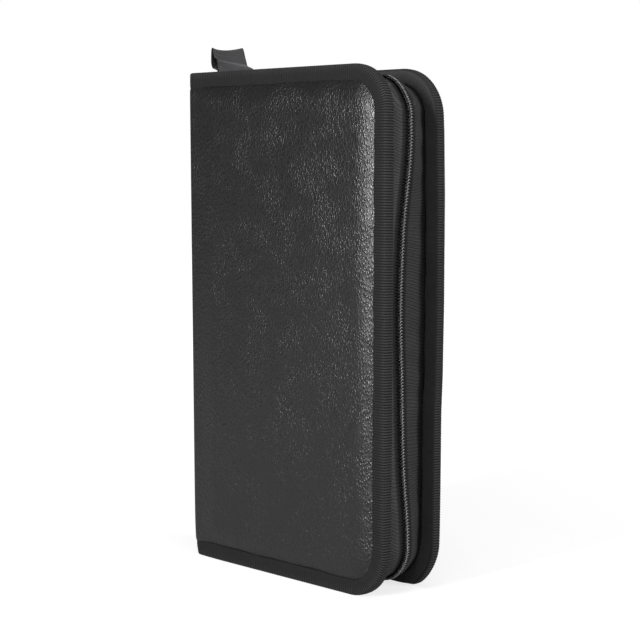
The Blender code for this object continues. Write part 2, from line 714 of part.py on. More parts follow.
def main():
    for obj in list(bpy.data.objects):
        bpy.data.objects.remove(obj)
    scene = bpy.context.scene
    case = bpy.data.collections.new("disc_wallet")
    tools = bpy.data.collections.new("cutters")
    scene.collection.children.link(case)
    scene.collection.children.link(tools)

    leather = material("leather", LEATHER, 0.45)
    grosgrain = material("grosgrain", GROSGRAIN, 0.75)
    twill = material("twill", TWILL, 0.85)
    nylon = material("nylon", NYLON, 0.4)
    satin = material("satin", SATIN, 0.55)
    foam = material("foam", FOAM, 0.95)
    card = material("board", BOARD, 0.9)
    cloth = material("lining", LINING, 0.85)
    film = material("sleeve_film", SLEEVE, 0.35)
    metal = material("black_metal", METAL, 0.35, metallic=0.8)

    for name, side in (("front", FRONT), ("back", BACK)):
        cover_skin(name, side, leather, case)
        cover_padding(name, side, foam, case)
        cover_plate(f"{name}_board", side, SPINE_X + FOLD_REACH, BOARD_DEPTH, BOARD_THICK, card, case)
        cover_plate(f"{name}_lining", side, SPINE_X + LINING_DEPTH + LINING_THICK + GAP,
                    LINING_DEPTH, LINING_THICK, cloth, case)
        cover_binding(name, side, grosgrain, case)
        zip_tape(side, twill, case)
        zip_coil(side, nylon, case)

    spine_skin(leather, case)
    spine_plate("spine_board", SPINE_BOARD_DEPTH, BOARD_THICK, DEPTH / 2 - FOLD_REACH, card, case)
    spine_plate("spine_lining", SPINE_LINING_DEPTH, LINING_THICK,
                DEPTH / 2 - LINING_DEPTH - LINING_THICK - GAP, cloth, case)
    spine_binding("spine_binding_top", from_top, grosgrain, case)
    spine_binding("spine_binding_bottom", from_bottom, grosgrain, case)
    zip_stops(metal, case)
    zip_slider(metal, case, tools)
    zip_pull(metal, case, tools)
    end_tab(satin, case)
    sleeve_pages(film, case)
    sleeve_strip(cloth, case)


main()
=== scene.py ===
# %% [markdown]
# # A tall zip-around disc wallet
# The object is a black wallet for discs, two discs high: two padded covers and a spine of
# artificial leather, a ribbed binding sewn over every edge, a zip round three sides, and a
# ribbon tab over the end of the zip. It stands closed on its bottom edges.
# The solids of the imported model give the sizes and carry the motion. This script adds the looks
# round them: soft leather, ribs, coils, cloth and film, each as a piece of its own.

# %% The frame
import math

import bpy
import numpy as np
from mathutils import Euler, Matrix, Vector


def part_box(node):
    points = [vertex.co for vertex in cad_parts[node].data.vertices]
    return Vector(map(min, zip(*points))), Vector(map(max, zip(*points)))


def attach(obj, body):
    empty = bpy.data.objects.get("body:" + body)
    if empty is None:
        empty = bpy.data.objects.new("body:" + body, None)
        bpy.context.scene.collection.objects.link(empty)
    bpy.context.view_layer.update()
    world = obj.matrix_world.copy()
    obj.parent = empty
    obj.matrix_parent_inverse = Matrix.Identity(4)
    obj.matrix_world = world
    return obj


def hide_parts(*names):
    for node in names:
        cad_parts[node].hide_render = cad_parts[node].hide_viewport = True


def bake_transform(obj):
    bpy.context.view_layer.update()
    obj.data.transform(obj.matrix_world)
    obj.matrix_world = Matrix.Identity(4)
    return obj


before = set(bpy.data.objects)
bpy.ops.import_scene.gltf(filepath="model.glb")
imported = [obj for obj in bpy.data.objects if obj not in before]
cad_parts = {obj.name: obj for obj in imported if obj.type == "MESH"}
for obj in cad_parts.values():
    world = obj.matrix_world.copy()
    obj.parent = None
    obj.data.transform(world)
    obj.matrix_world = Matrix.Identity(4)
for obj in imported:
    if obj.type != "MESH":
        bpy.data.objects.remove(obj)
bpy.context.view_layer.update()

MM = 0.001
FRONT, BACK = -1, 1
SIDES = ((FRONT, "front"), (BACK, "back"))

# %% [markdown]
# ## Sizes read from the solids
# Every size of the case that the looks need can be read from the boxes of the solids, so the
# two never disagree. Only the radii and the layers inside a cover are written again here.

# %% Sizes of the case
binding_low, binding_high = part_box("front_binding")
SPINE_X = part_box("spine_binding_top")[0].x
FREE_X = binding_high.x
HEIGHT = binding_high.z
HALF = -binding_low.y               # middle of the case to the binding's face
COVER_THICK = binding_high.y - binding_low.y
SPINE_THICK = 4.8 * MM
CORNER = 26 * MM                    # rounded corners on the zip side
FOLD_RADIUS = 1.4 * MM              # outer radius of leather and binding at the two folds
FOLD_REACH = 8 * MM                 # from the sharp corner to where the flat cover starts
BINDING_WIDTH = 9 * MM
SKIN_DEPTH = 0.9 * MM               # leather below the binding's face
LINING_DEPTH = 4.8 * MM
ROOT_INSET = 9.8 * MM               # where the zip tape comes out of the binding
TAPE_START = 9.5 * MM               # from the spine face to the ends of the tapes
print("case", [round(v / MM, 1) for v in (FREE_X - SPINE_X, 2 * HALF, HEIGHT, COVER_THICK)])

# %% [markdown]
# ## The camera
# The photograph looks down a little at the corner between the front cover and the zip side.
# The eye point and lens were found by fitting the case's corners and edges to the picture, so
# the camera is placed by those numbers and not by eye.

# %% Camera
EYE = Vector((665.4, -650.3, 235.3)) * MM
YAW, PITCH, TILT = math.radians(45.36), math.radians(5.40), math.radians(-0.14)
eye = bpy.data.objects.new("eye", bpy.data.cameras.new("eye"))
bpy.context.scene.collection.objects.link(eye)
eye.data.lens = 91.10
eye.data.sensor_width = 36
eye.location = EYE
aimed = Euler((math.pi / 2 - PITCH, 0, YAW)).to_matrix() @ Matrix.Rotation(-TILT, 3, "Z")
eye.rotation_euler = aimed.to_euler()
bpy.context.scene.camera = eye
bpy.context.scene.view_settings.view_transform = "Standard"
print("eye", [round(v, 3) for v in eye.location], "lens", eye.data.lens)

# %% [markdown]
# ## Floor, world and lamps
# A product shot of a black object needs two kinds of light: an even pale surround, which shows
# its colour, and a few large soft lamps, whose reflections draw the folds and the grain.
# The floor is seen as white but keeps a soft shadow, so the case doesn't float. One lamp is a
# narrow upright strip: where the leather rolls down to the zip side, it is mirrored as the
# bright line that shows how soft the cover is.

# %% Node helpers
def new_material(name):
    """An empty material with its output, and its node tree."""
    mat = bpy.data.materials.new(name)
    mat.use_nodes = True
    tree = mat.node_tree
    tree.nodes.clear()
    tree.nodes.new("ShaderNodeOutputMaterial").name = "Output"
    return mat, tree


def add_node(tree, kind, links=(), **values):
    """A node with its settings, its socket values (by name, _ for a space) and its links."""
    node = tree.nodes.new("ShaderNode" + kind)
    for key, value in values.items():
        socket = node.inputs.get(key.replace("_", " "))
        if socket is None:
            setattr(node, key, value)
        else:
            socket.default_value = value
    for source, target in links:
        tree.links.new(source, node.inputs[target])
    return node


def noise_at(tree, vector, scale, detail, **values):
    """A noise node that reads a position."""
    return add_node(tree, "TexNoise", Scale=scale, Detail=detail, links=[(vector, "Vector")],
                    **values)


def two_tones(tree, factor, dark, light):
    """A colour that goes from dark to light with a factor."""
    ramp = add_node(tree, "ValToRGB", links=[(factor, "Fac")])
    for stop, colour in zip(ramp.color_ramp.elements, (dark, light)):
        stop.color = (*colour, 1)
    return ramp.outputs["Color"]


def surface(tree, colour, bump, **values):
    """The shader of an opaque or clear finish, linked to the output."""
    shader = add_node(tree, "BsdfPrincipled",
                      links=[(colour, "Base Color"), (bump.outputs[0], "Normal")], **values)
    tree.links.new(shader.outputs[0], tree.nodes["Output"].inputs["Surface"])
    return shader


# %% Floor and world
FLOOR_SIZE = 6.0
MIRRORED_WHITE = 0.45               # how much of the floor's white shows in glossy surfaces
WORLD_LIGHT = 0.13                  # the surround is seen as white but lights the case softly
bpy.ops.object.select_all(action="DESELECT")
bpy.ops.mesh.primitive_plane_add(size=FLOOR_SIZE, location=(0, 0, 0))
floor = bpy.context.object
floor.name = "floor"
floor_mat, tree = new_material("pale_floor")
seen = add_node(tree, "LightPath")
matte = add_node(tree, "BsdfDiffuse", Color=(0.30, 0.30, 0.30, 1))
place = add_node(tree, "TexCoord")
away = add_node(tree, "VectorMath", operation="LENGTH", links=[(place.outputs["Object"], 0)])
whiter = add_node(tree, "MapRange", From_Min=0.2, From_Max=1.2, To_Min=0.76, To_Max=1.05,
                  links=[(away.outputs["Value"], "Value")])
mirrored = add_node(tree, "Math", operation="MULTIPLY",
                    links=[(seen.outputs["Is Glossy Ray"], 0)])
mirrored.inputs[1].default_value = MIRRORED_WHITE
visible = add_node(tree, "Math", operation="MAXIMUM",
                   links=[(seen.outputs["Is Camera Ray"], 0), (mirrored.outputs[0], 1)])
strength = add_node(tree, "Math", operation="MULTIPLY",
                    links=[(whiter.outputs[0], 0), (visible.outputs[0], 1)])
glow = add_node(tree, "Emission", Color=(1, 1, 1, 1), links=[(strength.outputs[0], "Strength")])
both = add_node(tree, "AddShader")
tree.links.new(matte.outputs[0], both.inputs[0])
tree.links.new(glow.outputs[0], both.inputs[1])
tree.links.new(both.outputs[0], tree.nodes["Output"].inputs["Surface"])
floor.data.materials.append(floor_mat)

world = bpy.data.worlds.new("studio")
bpy.context.scene.world = world
world.use_nodes = True
tree = world.node_tree
tree.nodes.clear()
seen = add_node(tree, "LightPath")
white = add_node(tree, "Background", Color=(1, 1, 1, 1), Strength=1.0)
soft = add_node(tree, "Background", Color=(1, 1, 1, 1), Strength=WORLD_LIGHT)
pick = add_node(tree, "MixShader", links=[(seen.outputs["Is Camera Ray"], "Fac")])
tree.links.new(soft.outputs[0], pick.inputs[1])
tree.links.new(white.outputs[0], pick.inputs[2])
end = tree.nodes.new("ShaderNodeOutputWorld")
tree.links.new(pick.outputs[0], end.inputs["Surface"])
print("floor", FLOOR_SIZE, "m square")


# %% Lamps
def softbox(name, place, aim, width, height, watts):
    """A rectangular lamp at a place, turned to face a point."""
    lamp = bpy.data.lights.new(name, "AREA")
    lamp.shape = "RECTANGLE"
    lamp.size = width
    lamp.size_y = height
    lamp.energy = watts
    box = bpy.data.objects.new(name, lamp)
    bpy.context.scene.collection.objects.link(box)
    box.location = place
    box.rotation_euler = (Vector(aim) - Vector(place)).to_track_quat("-Z", "Y").to_euler()
    return box


MIDDLE = (0, 0, 0.15)
# name, place and aim in metres, width and height in metres, watts
softbox("fill_box", (1.00, -1.10, 0.85), MIDDLE, 0.9, 0.9, 3.5)
softbox("sheen_box", (0.08, -1.17, 0.43), (0.05, 0, 0.30), 0.08, 0.46, 19)
softbox("zip_box", (1.22, 0.50, 0.45), MIDDLE, 0.25, 0.6, 11)
softbox("top_box", (0.30, -0.20, 1.50), MIDDLE, 0.7, 0.7, 10)
print("lamps", len(bpy.data.lights))

# %% [markdown]
# ## The shape of the rim
# Both covers have one rim: from the middle of the spine over the fold, along the top, down the
# zip side and back along the bottom. Most pieces follow it, so one function places a point by
# its distance along the rim, its inset from the edge and its depth below the outer face.
# It is written for the front cover, and the back cover is its mirror image.

# %% Places along the rim
RUN = FREE_X - CORNER - SPINE_X - FOLD_REACH
ARC = CORNER * math.pi / 2
SIDE = HEIGHT - 2 * CORNER
SPINE_FLAT = HALF - FOLD_REACH
FOLD = 2 * (FOLD_REACH - FOLD_RADIUS) + FOLD_RADIUS * math.pi / 2
FOLD_START = SPINE_FLAT
RUN_START = FOLD_START + FOLD
ARC_START = RUN_START + RUN
SIDE_START = ARC_START + ARC
RIM = 2 * (SIDE_START + SIDE / 2)
INNER_RADIUS = 0.8 * MM             # the tightest turn of an inner layer in the fold


def round_the_fold(way, spine_depth, cover_depth):
    """X and Y of a layer from the spine's middle (way 0) round the fold and along the cover."""
    radius = np.maximum(FOLD_RADIUS - (spine_depth + cover_depth) / 2, INNER_RADIUS)
    before = FOLD_REACH - cover_depth - radius
    turn = radius * math.pi / 2
    after = FOLD_REACH - spine_depth - radius
    went = (way - FOLD_START) / FOLD * (before + turn + after)
    angle = np.clip((went - before) / radius, 0, math.pi / 2)
    x_turn = SPINE_X + spine_depth + radius * (1 - np.cos(angle))
    y_turn = -(HALF - cover_depth - radius) - radius * np.sin(angle)
    x = np.where(went > before + turn, x_turn + went - before - turn, x_turn)
    y = np.where(went < before, -(HALF - FOLD_REACH) - went, y_turn)
    x = np.where(way < FOLD_START, SPINE_X + spine_depth, x)
    y = np.where(way < FOLD_START, -way, y)
    x = np.where(way > RUN_START, SPINE_X + FOLD_REACH + way - RUN_START, x)
    y = np.where(way > RUN_START, -(HALF - cover_depth), y)
    return x, y


def on_rim(along, inset, cover_depth, spine_depth):
    """Points of the front cover's rim, as an array of X, Y, Z."""
    top_half = along <= RIM / 2
    way = np.where(top_half, along, RIM - along)
    x, y = round_the_fold(np.minimum(way, ARC_START), spine_depth, cover_depth)
    below = inset + 0 * way
    angle = np.clip((way - ARC_START) / CORNER, 0, math.pi / 2)
    reach = CORNER - inset
    past = way > ARC_START
    x = np.where(past, FREE_X - CORNER + reach * np.sin(angle), x)
    below = np.where(past, CORNER - reach * np.cos(angle), below)
    below = below + np.maximum(way - SIDE_START, 0)
    z = np.where(top_half, HEIGHT - below, below)
    return np.stack([x, y, z], axis=1)


print("rim of one cover", round(RIM / MM, 1), "mm")


# %% Points of a mesh
def points_of(obj):
    """The points of a mesh, as an array of X, Y, Z."""
    flat = np.empty(len(obj.data.vertices) * 3)
    obj.data.vertices.foreach_get("co", flat)
    return flat.reshape(-1, 3)


def move_points(obj, places):
    """Put every point of a mesh at its new place."""
    obj.data.vertices.foreach_set("co", np.asarray(places, float).ravel())
    obj.data.update()


# how far the back cover's zip side stands off: height and way along Y, in millimetres
FLARE = ((0, 0.3), (20, 0.8), (60, 1.2), (100, 1.3), (120, 2.2), (160, 2.8), (220, 2.6),
         (255, 1.6), (280, 0.0), (290, -0.3))
LOW_CORNER = (-1.8, 3.3)            # the back cover's bottom corner hangs: along X and down
LEAN = (1.6, -1.6)                  # the spine's way along X at the bottom and at the top
WORN_FOOT = (1.9, 0.9)              # the spine's bottom corners are pushed in by use: X and Y
SHEAR = 0.7                         # the front cover stands this much higher at its top
# all four in millimetres


def relaxed(places):
    """A soft case isn't square: it leans, and the back cover's zip side stands off a little."""
    x, y, z = places.T
    back = np.clip((y + 3 * MM) / (18 * MM), 0, 1)
    out = np.clip((x - SPINE_X) / (FREE_X - SPINE_X), 0, 1) ** 1.5
    marks = np.array(FLARE)
    flare = np.interp(z / MM, marks[:, 0], marks[:, 1]) * MM * out * back
    spot = np.hypot(x - (FREE_X - 0.5 * CORNER), z - 0.3 * CORNER) / (14 * MM)
    corner = MM * back * np.exp(-spot ** 2) * np.clip(z / (4 * MM), 0, 1)
    near_spine = np.clip(1 - (x - SPINE_X) / (70 * MM), 0, 1)
    lean = (LEAN[0] + (LEAN[1] - LEAN[0]) * z / HEIGHT) * MM * near_spine ** 1.5
    shear = -SHEAR * MM * y / HALF * np.clip(z / HEIGHT, 0, 1)
    foot = MM * np.exp(-z / (8 * MM)) * np.clip(1 - (x - SPINE_X) / (30 * MM), 0, 1) ** 2
    return np.stack([x + LOW_CORNER[0] * corner + lean + WORN_FOOT[0] * foot,
                     y + flare - WORN_FOOT[1] * foot * np.clip(y / (15 * MM), -1, 1),
                     z - LOW_CORNER[1] * corner + shear], axis=1)


def on_side(places, side):
    """Places of the front cover as they are, or mirrored to the back cover, and relaxed."""
    return relaxed(places if side == FRONT else places * np.array((1, -1, 1)))


def cloth_grid(name, rows, columns):
    """A grid primitive, and each point's share along it (0 to 1) and across it (0 to 1)."""
    bpy.ops.object.select_all(action="DESELECT")
    bpy.ops.mesh.primitive_grid_add(x_subdivisions=rows, y_subdivisions=columns, size=2)
    grid = bpy.context.object
    grid.name = name
    grid.data.name = name
    flat = points_of(grid)
    return grid, (flat[:, 0] + 1) / 2, (flat[:, 1] + 1) / 2


def pick_only(obj):
    """Select one object alone and make it active, as most operators expect."""
    bpy.ops.object.select_all(action="DESELECT")
    bpy.context.view_layer.objects.active = obj
    obj.select_set(True)


def in_edit_mode(obj, *steps):
    """Run edit mode steps on the whole mesh of one object."""
    pick_only(obj)
    bpy.ops.object.mode_set(mode="EDIT")
    bpy.ops.mesh.select_all(action="SELECT")
    for step in steps:
        step()
    bpy.ops.object.mode_set(mode="OBJECT")


def face_out(obj):
    """Merge doubles and turn the faces of a closed shape outwards."""
    in_edit_mode(obj, lambda: bpy.ops.mesh.remove_doubles(threshold=MM / 1000),
                 lambda: bpy.ops.mesh.normals_make_consistent(inside=False))


def turn_over(obj):
    """Turn an open sheet's faces to its other side."""
    in_edit_mode(obj, lambda: bpy.ops.mesh.flip_normals())


def apply_modifier(obj, kind, **settings):
    """Add a modifier with its settings and apply it at once."""
    pick_only(obj)
    modifier = obj.modifiers.new(kind.lower(), kind)
    for key, value in settings.items():
        setattr(modifier, key, value)
    bpy.ops.object.modifier_apply(modifier=modifier.name)


def smooth(obj, angle=None):
    """Shade a mesh smooth, all over or up to an angle in degrees."""
    pick_only(obj)
    if angle is None:
        bpy.ops.object.shade_smooth()
    else:
        bpy.ops.object.shade_smooth_by_angle(angle=math.radians(angle))


def report(obj):
    """Print a piece's name and its number of triangles."""
    obj.data.calc_loop_triangles()
    print(obj.name, len(obj.data.loop_triangles), "triangles")


def dress(obj, mat):
    """Give a piece its finish."""
    obj.data.materials.clear()
    obj.data.materials.append(mat)


def finish_sheet(sheet, thickness, offset, mat, angle=None):
    """Give a bare sheet its wall, its shading and its finish."""
    apply_modifier(sheet, "SOLIDIFY", thickness=thickness, offset=offset)
    smooth(sheet, angle)
    dress(sheet, mat)


# %% [markdown]
# ## Materials
# Everything on the case is nearly black, so colour says little. What tells leather from ribbon
# and nylon is how each surface breaks up the light: its roughness, its bump and their scale.
# Each finish therefore has its own pattern, at the size that it has on the real thing.

# %% Leather
GRAIN_SCALE = 880.0                 # pebbles in a metre, so each is about 1.1 mm wide
GRAIN_STRETCH = 0.55                # upright, a pebble is nearly twice as long as it is wide
GRAIN_HEIGHT = 0.19 * MM


def leather_material():
    """Artificial leather: low upright pebbles between fine creases, glossier on their crowns."""
    mat, tree = new_material("creased_leather")
    place = add_node(tree, "TexCoord").outputs["Object"]
    drift = noise_at(tree, place, 330.0, 2.0)
    bend = add_node(tree, "VectorMath", operation="MULTIPLY_ADD",
                    links=[(drift.outputs["Color"], 0), (place, 2)])
    bend.inputs[1].default_value = (0.0020, 0.0020, 0.0020)
    longer = add_node(tree, "Mapping", links=[(bend.outputs[0], "Vector")])
    longer.inputs["Rotation"].default_value = (0, math.radians(12), 0)
    longer.inputs["Scale"].default_value = (1.0, 1.0, GRAIN_STRETCH)
    cells = add_node(tree, "TexVoronoi", feature="F1", Scale=GRAIN_SCALE,
                     links=[(longer.outputs[0], "Vector")])
    squared = add_node(tree, "Math", operation="MULTIPLY",
                       links=[(cells.outputs["Distance"], 0), (cells.outputs["Distance"], 1)])
    pebble = add_node(tree, "MapRange", From_Max=0.40, To_Min=1.0, To_Max=0.0,
                      links=[(squared.outputs[0], "Value")])
    fine = noise_at(tree, longer.outputs[0], 2200.0, 2.0, Roughness=0.5)
    height = add_node(tree, "Math", operation="MULTIPLY_ADD",
                      links=[(fine.outputs["Fac"], 0), (pebble.outputs[0], 2)])
    height.inputs[1].default_value = 0.06
    patches = noise_at(tree, place, 70.0, 2.0)
    worn = add_node(tree, "MapRange", From_Min=0.35, From_Max=0.65, To_Min=0.5, To_Max=1.0,
                    links=[(patches.outputs["Fac"], "Value")])
    bump = add_node(tree, "Bump", Distance=GRAIN_HEIGHT,
                    links=[(height.outputs[0], "Height"), (worn.outputs[0], "Strength")])
    broad = noise_at(tree, place, 38.0, 3.0)
    tone = two_tones(tree, broad.outputs["Fac"], (0.005, 0.005, 0.0053), (0.008, 0.008, 0.0083))
    gloss = add_node(tree, "MapRange", To_Min=0.42, To_Max=0.28,
                     links=[(pebble.outputs[0], "Value")])
    shader = surface(tree, tone, bump, Specular_IOR_Level=0.42)
    tree.links.new(gloss.outputs[0], shader.inputs["Roughness"])
    return mat


leather = leather_material()
print("leather", len(leather.node_tree.nodes), "nodes")


# %% Cloth finishes
def cloth_material(name, dark, light, weave_scale, bump_depth, roughness, sheen, twill=0.0,
                   specular=0.3, depth=0.2):
    """Woven cloth: two crossing threads on the piece's own coordinates, with uneven colour and
    painted shade where the weave lies low.
    """
    mat, tree = new_material(name)
    place = add_node(tree, "TexCoord").outputs["Object"]
    turned = add_node(tree, "Mapping", links=[(place, "Vector")])
    turned.inputs["Rotation"].default_value = (0, twill, 0)
    warp, weft = (add_node(tree, "TexWave", wave_type="BANDS", bands_direction=way,
                           Scale=weave_scale, Distortion=1.2, Detail=1.0, Detail_Scale=4.0,
                           links=[(turned.outputs[0], "Vector")]) for way in "ZX")
    woven = add_node(tree, "Math", operation="ADD",
                     links=[(warp.outputs["Fac"], 0), (weft.outputs["Fac"], 1)])
    fuzz = noise_at(tree, place, 1800.0, 3.0)
    height = add_node(tree, "Math", operation="ADD",
                      links=[(woven.outputs[0], 0), (fuzz.outputs["Fac"], 1)])
    bump = add_node(tree, "Bump", Strength=0.8, Distance=bump_depth,
                    links=[(height.outputs[0], "Height")])
    broad = noise_at(tree, place, 70.0, 4.0)
    tone = two_tones(tree, broad.outputs["Fac"], dark, light)
    # painted shade where the weave lies low and painted light on its high threads
    share = add_node(tree, "MapRange", From_Max=2.0, To_Min=1 - depth, To_Max=1 + depth,
                     links=[(woven.outputs[0], "Value")])
    threads = add_node(tree, "VectorMath", operation="SCALE",
                       links=[(tone, 0), (share.outputs[0], "Scale")])
    surface(tree, threads.outputs[0], bump, Roughness=roughness, Specular_IOR_Level=specular,
            Sheen_Weight=sheen, Sheen_Roughness=0.4)
    return mat


def shade_by(mat, attribute, low, high):
    """Scale a finish's colour by a number kept on the piece's points, low to high."""
    tree = mat.node_tree
    shader = next(node for node in tree.nodes if node.type == "BSDF_PRINCIPLED")
    tone = shader.inputs["Base Color"].links[0].from_socket
    found = add_node(tree, "Attribute", attribute_name=attribute)
    share = add_node(tree, "MapRange", To_Min=low, To_Max=high, clamp=False,
                     links=[(found.outputs["Fac"], "Value")])
    mixed = add_node(tree, "VectorMath", operation="SCALE",
                     links=[(tone, 0), (share.outputs[0], "Scale")])
    tree.links.new(mixed.outputs[0], shader.inputs["Base Color"])


ribbed = cloth_material("ribbed_binding", (0.022, 0.022, 0.023), (0.030, 0.030, 0.031),
                        weave_scale=900.0, bump_depth=0.00003, roughness=0.62, sheen=0.02,
                        specular=0.12)
# painted shade between the ribs, painted light on their crests and on the inner flange
shade_by(ribbed, "rib", 0.05, 1.5)
twill = cloth_material("zip_tape_twill", (0.018, 0.018, 0.019), (0.027, 0.027, 0.028),
                       weave_scale=300.0, bump_depth=0.00012, roughness=0.7, sheen=0.03,
                       twill=math.radians(35), specular=0.2, depth=0.55)
# painted shade on the tapes' furrow and coil edge, and the front tape painted paler
shade_by(twill, "lit", 0.15, 1.25)
satin = cloth_material("tab_ribbon", (0.030, 0.030, 0.032), (0.044, 0.044, 0.046),
                       weave_scale=700.0, bump_depth=0.00005, roughness=0.55, sheen=0.08,
                       specular=0.2, depth=0.3)
# painted highlight on the tab's crease, painted shade at its rims and inside
shade_by(satin, "lit", 0.1, 3.1)
lining_cloth = cloth_material("lining_cloth", (0.013, 0.013, 0.014), (0.020, 0.020, 0.021),
                              weave_scale=330.0, bump_depth=0.0001, roughness=0.8, sheen=0.1)
page_cloth = cloth_material("page_fleece", (0.30, 0.31, 0.33), (0.38, 0.39, 0.41),
                            weave_scale=500.0, bump_depth=0.00008, roughness=0.85, sheen=0.1)
print("cloths", [mat.name for mat in (ribbed, twill, satin, lining_cloth, page_cloth)])


# %% Nylon, metal, foam, board and film
def hard_material(name, dark, light, grain_scale, bump_depth, rough_low, rough_high,
                  metallic=0.0, specular=0.5, alpha=1.0):
    """A hard finish: faint mottling of its colour and roughness, and a fine uneven surface."""
    mat, tree = new_material(name)
    place = add_node(tree, "TexCoord").outputs["Object"]
    grain = noise_at(tree, place, grain_scale, 4.0)
    broad = noise_at(tree, place, grain_scale / 12, 3.0)
    tone = two_tones(tree, broad.outputs["Fac"], dark, light)
    gloss = add_node(tree, "MapRange", To_Min=rough_low, To_Max=rough_high,
                     links=[(grain.outputs["Fac"], "Value")])
    bump = add_node(tree, "Bump", Strength=0.6, Distance=bump_depth,
                    links=[(grain.outputs["Fac"], "Height")])
    shader = surface(tree, tone, bump, Metallic=metallic, Specular_IOR_Level=specular,
                     Alpha=alpha)
    tree.links.new(gloss.outputs[0], shader.inputs["Roughness"])
    return mat


nylon = hard_material("black_nylon", (0.050, 0.050, 0.052), (0.075, 0.075, 0.078),
                      grain_scale=2500.0, bump_depth=0.00001, rough_low=0.22, rough_high=0.34,
                      specular=0.3)
# painted highlights on the coil's turns, the rest of each turn left dark
shade_by(nylon, "lit", 0.1, 12.5)
metal = hard_material("black_lacquered_metal", (0.030, 0.030, 0.032), (0.045, 0.045, 0.048),
                      grain_scale=1200.0, bump_depth=0.00001, rough_low=0.24, rough_high=0.36,
                      metallic=0.7)
foam = hard_material("padding_foam", (0.20, 0.20, 0.21), (0.30, 0.30, 0.31),
                     grain_scale=1500.0, bump_depth=0.0002, rough_low=0.9, rough_high=1.0)
board = hard_material("grey_board", (0.22, 0.19, 0.15), (0.34, 0.29, 0.22),
                      grain_scale=900.0, bump_depth=0.00005, rough_low=0.85, rough_high=0.95)
film = hard_material("pocket_film", (0.60, 0.61, 0.64), (0.70, 0.71, 0.74),
                     grain_scale=60.0, bump_depth=0.0004, rough_low=0.12, rough_high=0.22,
                     alpha=0.3)
for node, mat in (("spine_board", board), ("spine_lining", lining_cloth),
                  ("front_zip_stop", metal), ("back_zip_stop", metal),
                  ("bottom_zip_stop", metal), ("sleeve_strip", lining_cloth)):
    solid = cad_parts[node]
    solid.data.materials.clear()
    solid.data.materials.append(mat)
print("carried-over solids have their finishes")

# %% [markdown]
# ## The leather
# On the real case one sheet covers the front, the spine and the back. It is glued over foam,
# so the covers stand out in a low cushion that rolls down into the binding.
# A flat grid is laid round the fold and then pushed out, like a sculpted sheet: the height is
# a formula of the distance from the seam, with puckers, slow waves and a few creases added.
# It is cut in two at the middle of the spine, one half for each cover.

# %% Seam and distance from it
SEAM_WAVE = 0.18 * MM               # how far the sewn edge strays from a straight line


def seam_stray(along):
    """The binding's inner edge isn't quite straight: slow waves of a fraction of a millimetre."""
    return SEAM_WAVE * (np.sin(along / (11.3 * MM)) + 0.7 * np.sin(along / (4.7 * MM) + 1.3)
                        + 0.5 * np.sin(along / (29 * MM) + 0.4))


def inset_on_cover(x, z):
    """Distance inwards from the outline, and the place along the rim that is nearest."""
    mirrored = np.where(z > HEIGHT / 2, HEIGHT - z, z)
    from_free = FREE_X - x
    near_corner = (from_free < CORNER) & (mirrored < CORNER)
    away = np.hypot(CORNER - from_free, CORNER - mirrored)
    inset = np.where(near_corner, CORNER - away, np.minimum(from_free, mirrored))
    angle = np.arctan2(CORNER - from_free, CORNER - mirrored)
    along_run = RUN_START + (x - SPINE_X - FOLD_REACH)
    along_side = SIDE_START + (mirrored - CORNER)
    way = np.where(from_free < mirrored, along_side, along_run)
    way = np.where(near_corner, ARC_START + CORNER * angle, way)
    return inset, np.where(z > HEIGHT / 2, way, RIM - way)


# %% Height of the leather
ROLL = 12 * MM                      # width of the roll beside the binding
PANEL_RISE = 1.5 * MM               # the panel stands out this far past the binding
SPINE_RISE = 0.3 * MM               # and the leather over the spine only so far
CROWN = 1.4 * MM                    # the panel's middle stands out this much more


def slow_waves(a, b):
    """Uneven padding: long shallow waves over a panel, from -1 to 1."""
    return (np.sin(a / (23 * MM) + 0.6 * np.sin(b / (31 * MM))) * np.cos(b / (37 * MM) + 0.8)
            + 0.5 * np.sin(b / (17 * MM) + a / (41 * MM) + 2.1)) / 1.5


CREASES = (                         # X and Z of both ends, depth and half width, in millimetres
    (52, 92, 64, 108, 0.22, 1.3), (47, 84, 60, 101, 0.16, 1.1), (55, 78, 66, 90, 0.18, 1.2),
    (58, 112, 67, 121, 0.14, 1.0), (38, 96, 49, 110, 0.10, 1.2), (60, 64, 67, 76, 0.12, 1.0),
)


def crease_depth(x, z):
    """Depth of the few soft creases near the middle of the zip side."""
    total = np.zeros_like(x)
    for ax, az, bx, bz, depth, spread in CREASES:
        run = np.array((bx - ax, bz - az)) * MM
        along = ((x - ax * MM) * run[0] + (z - az * MM) * run[1]) / (run @ run)
        held = np.clip(along, 0, 1)
        off = np.hypot(x - ax * MM - held * run[0], z - az * MM - held * run[1])
        bow = np.sin(np.clip(along, 0, 1) * math.pi) ** 0.5
        total += depth * MM * bow * np.exp(-(off / (spread * MM)) ** 2)
    return total


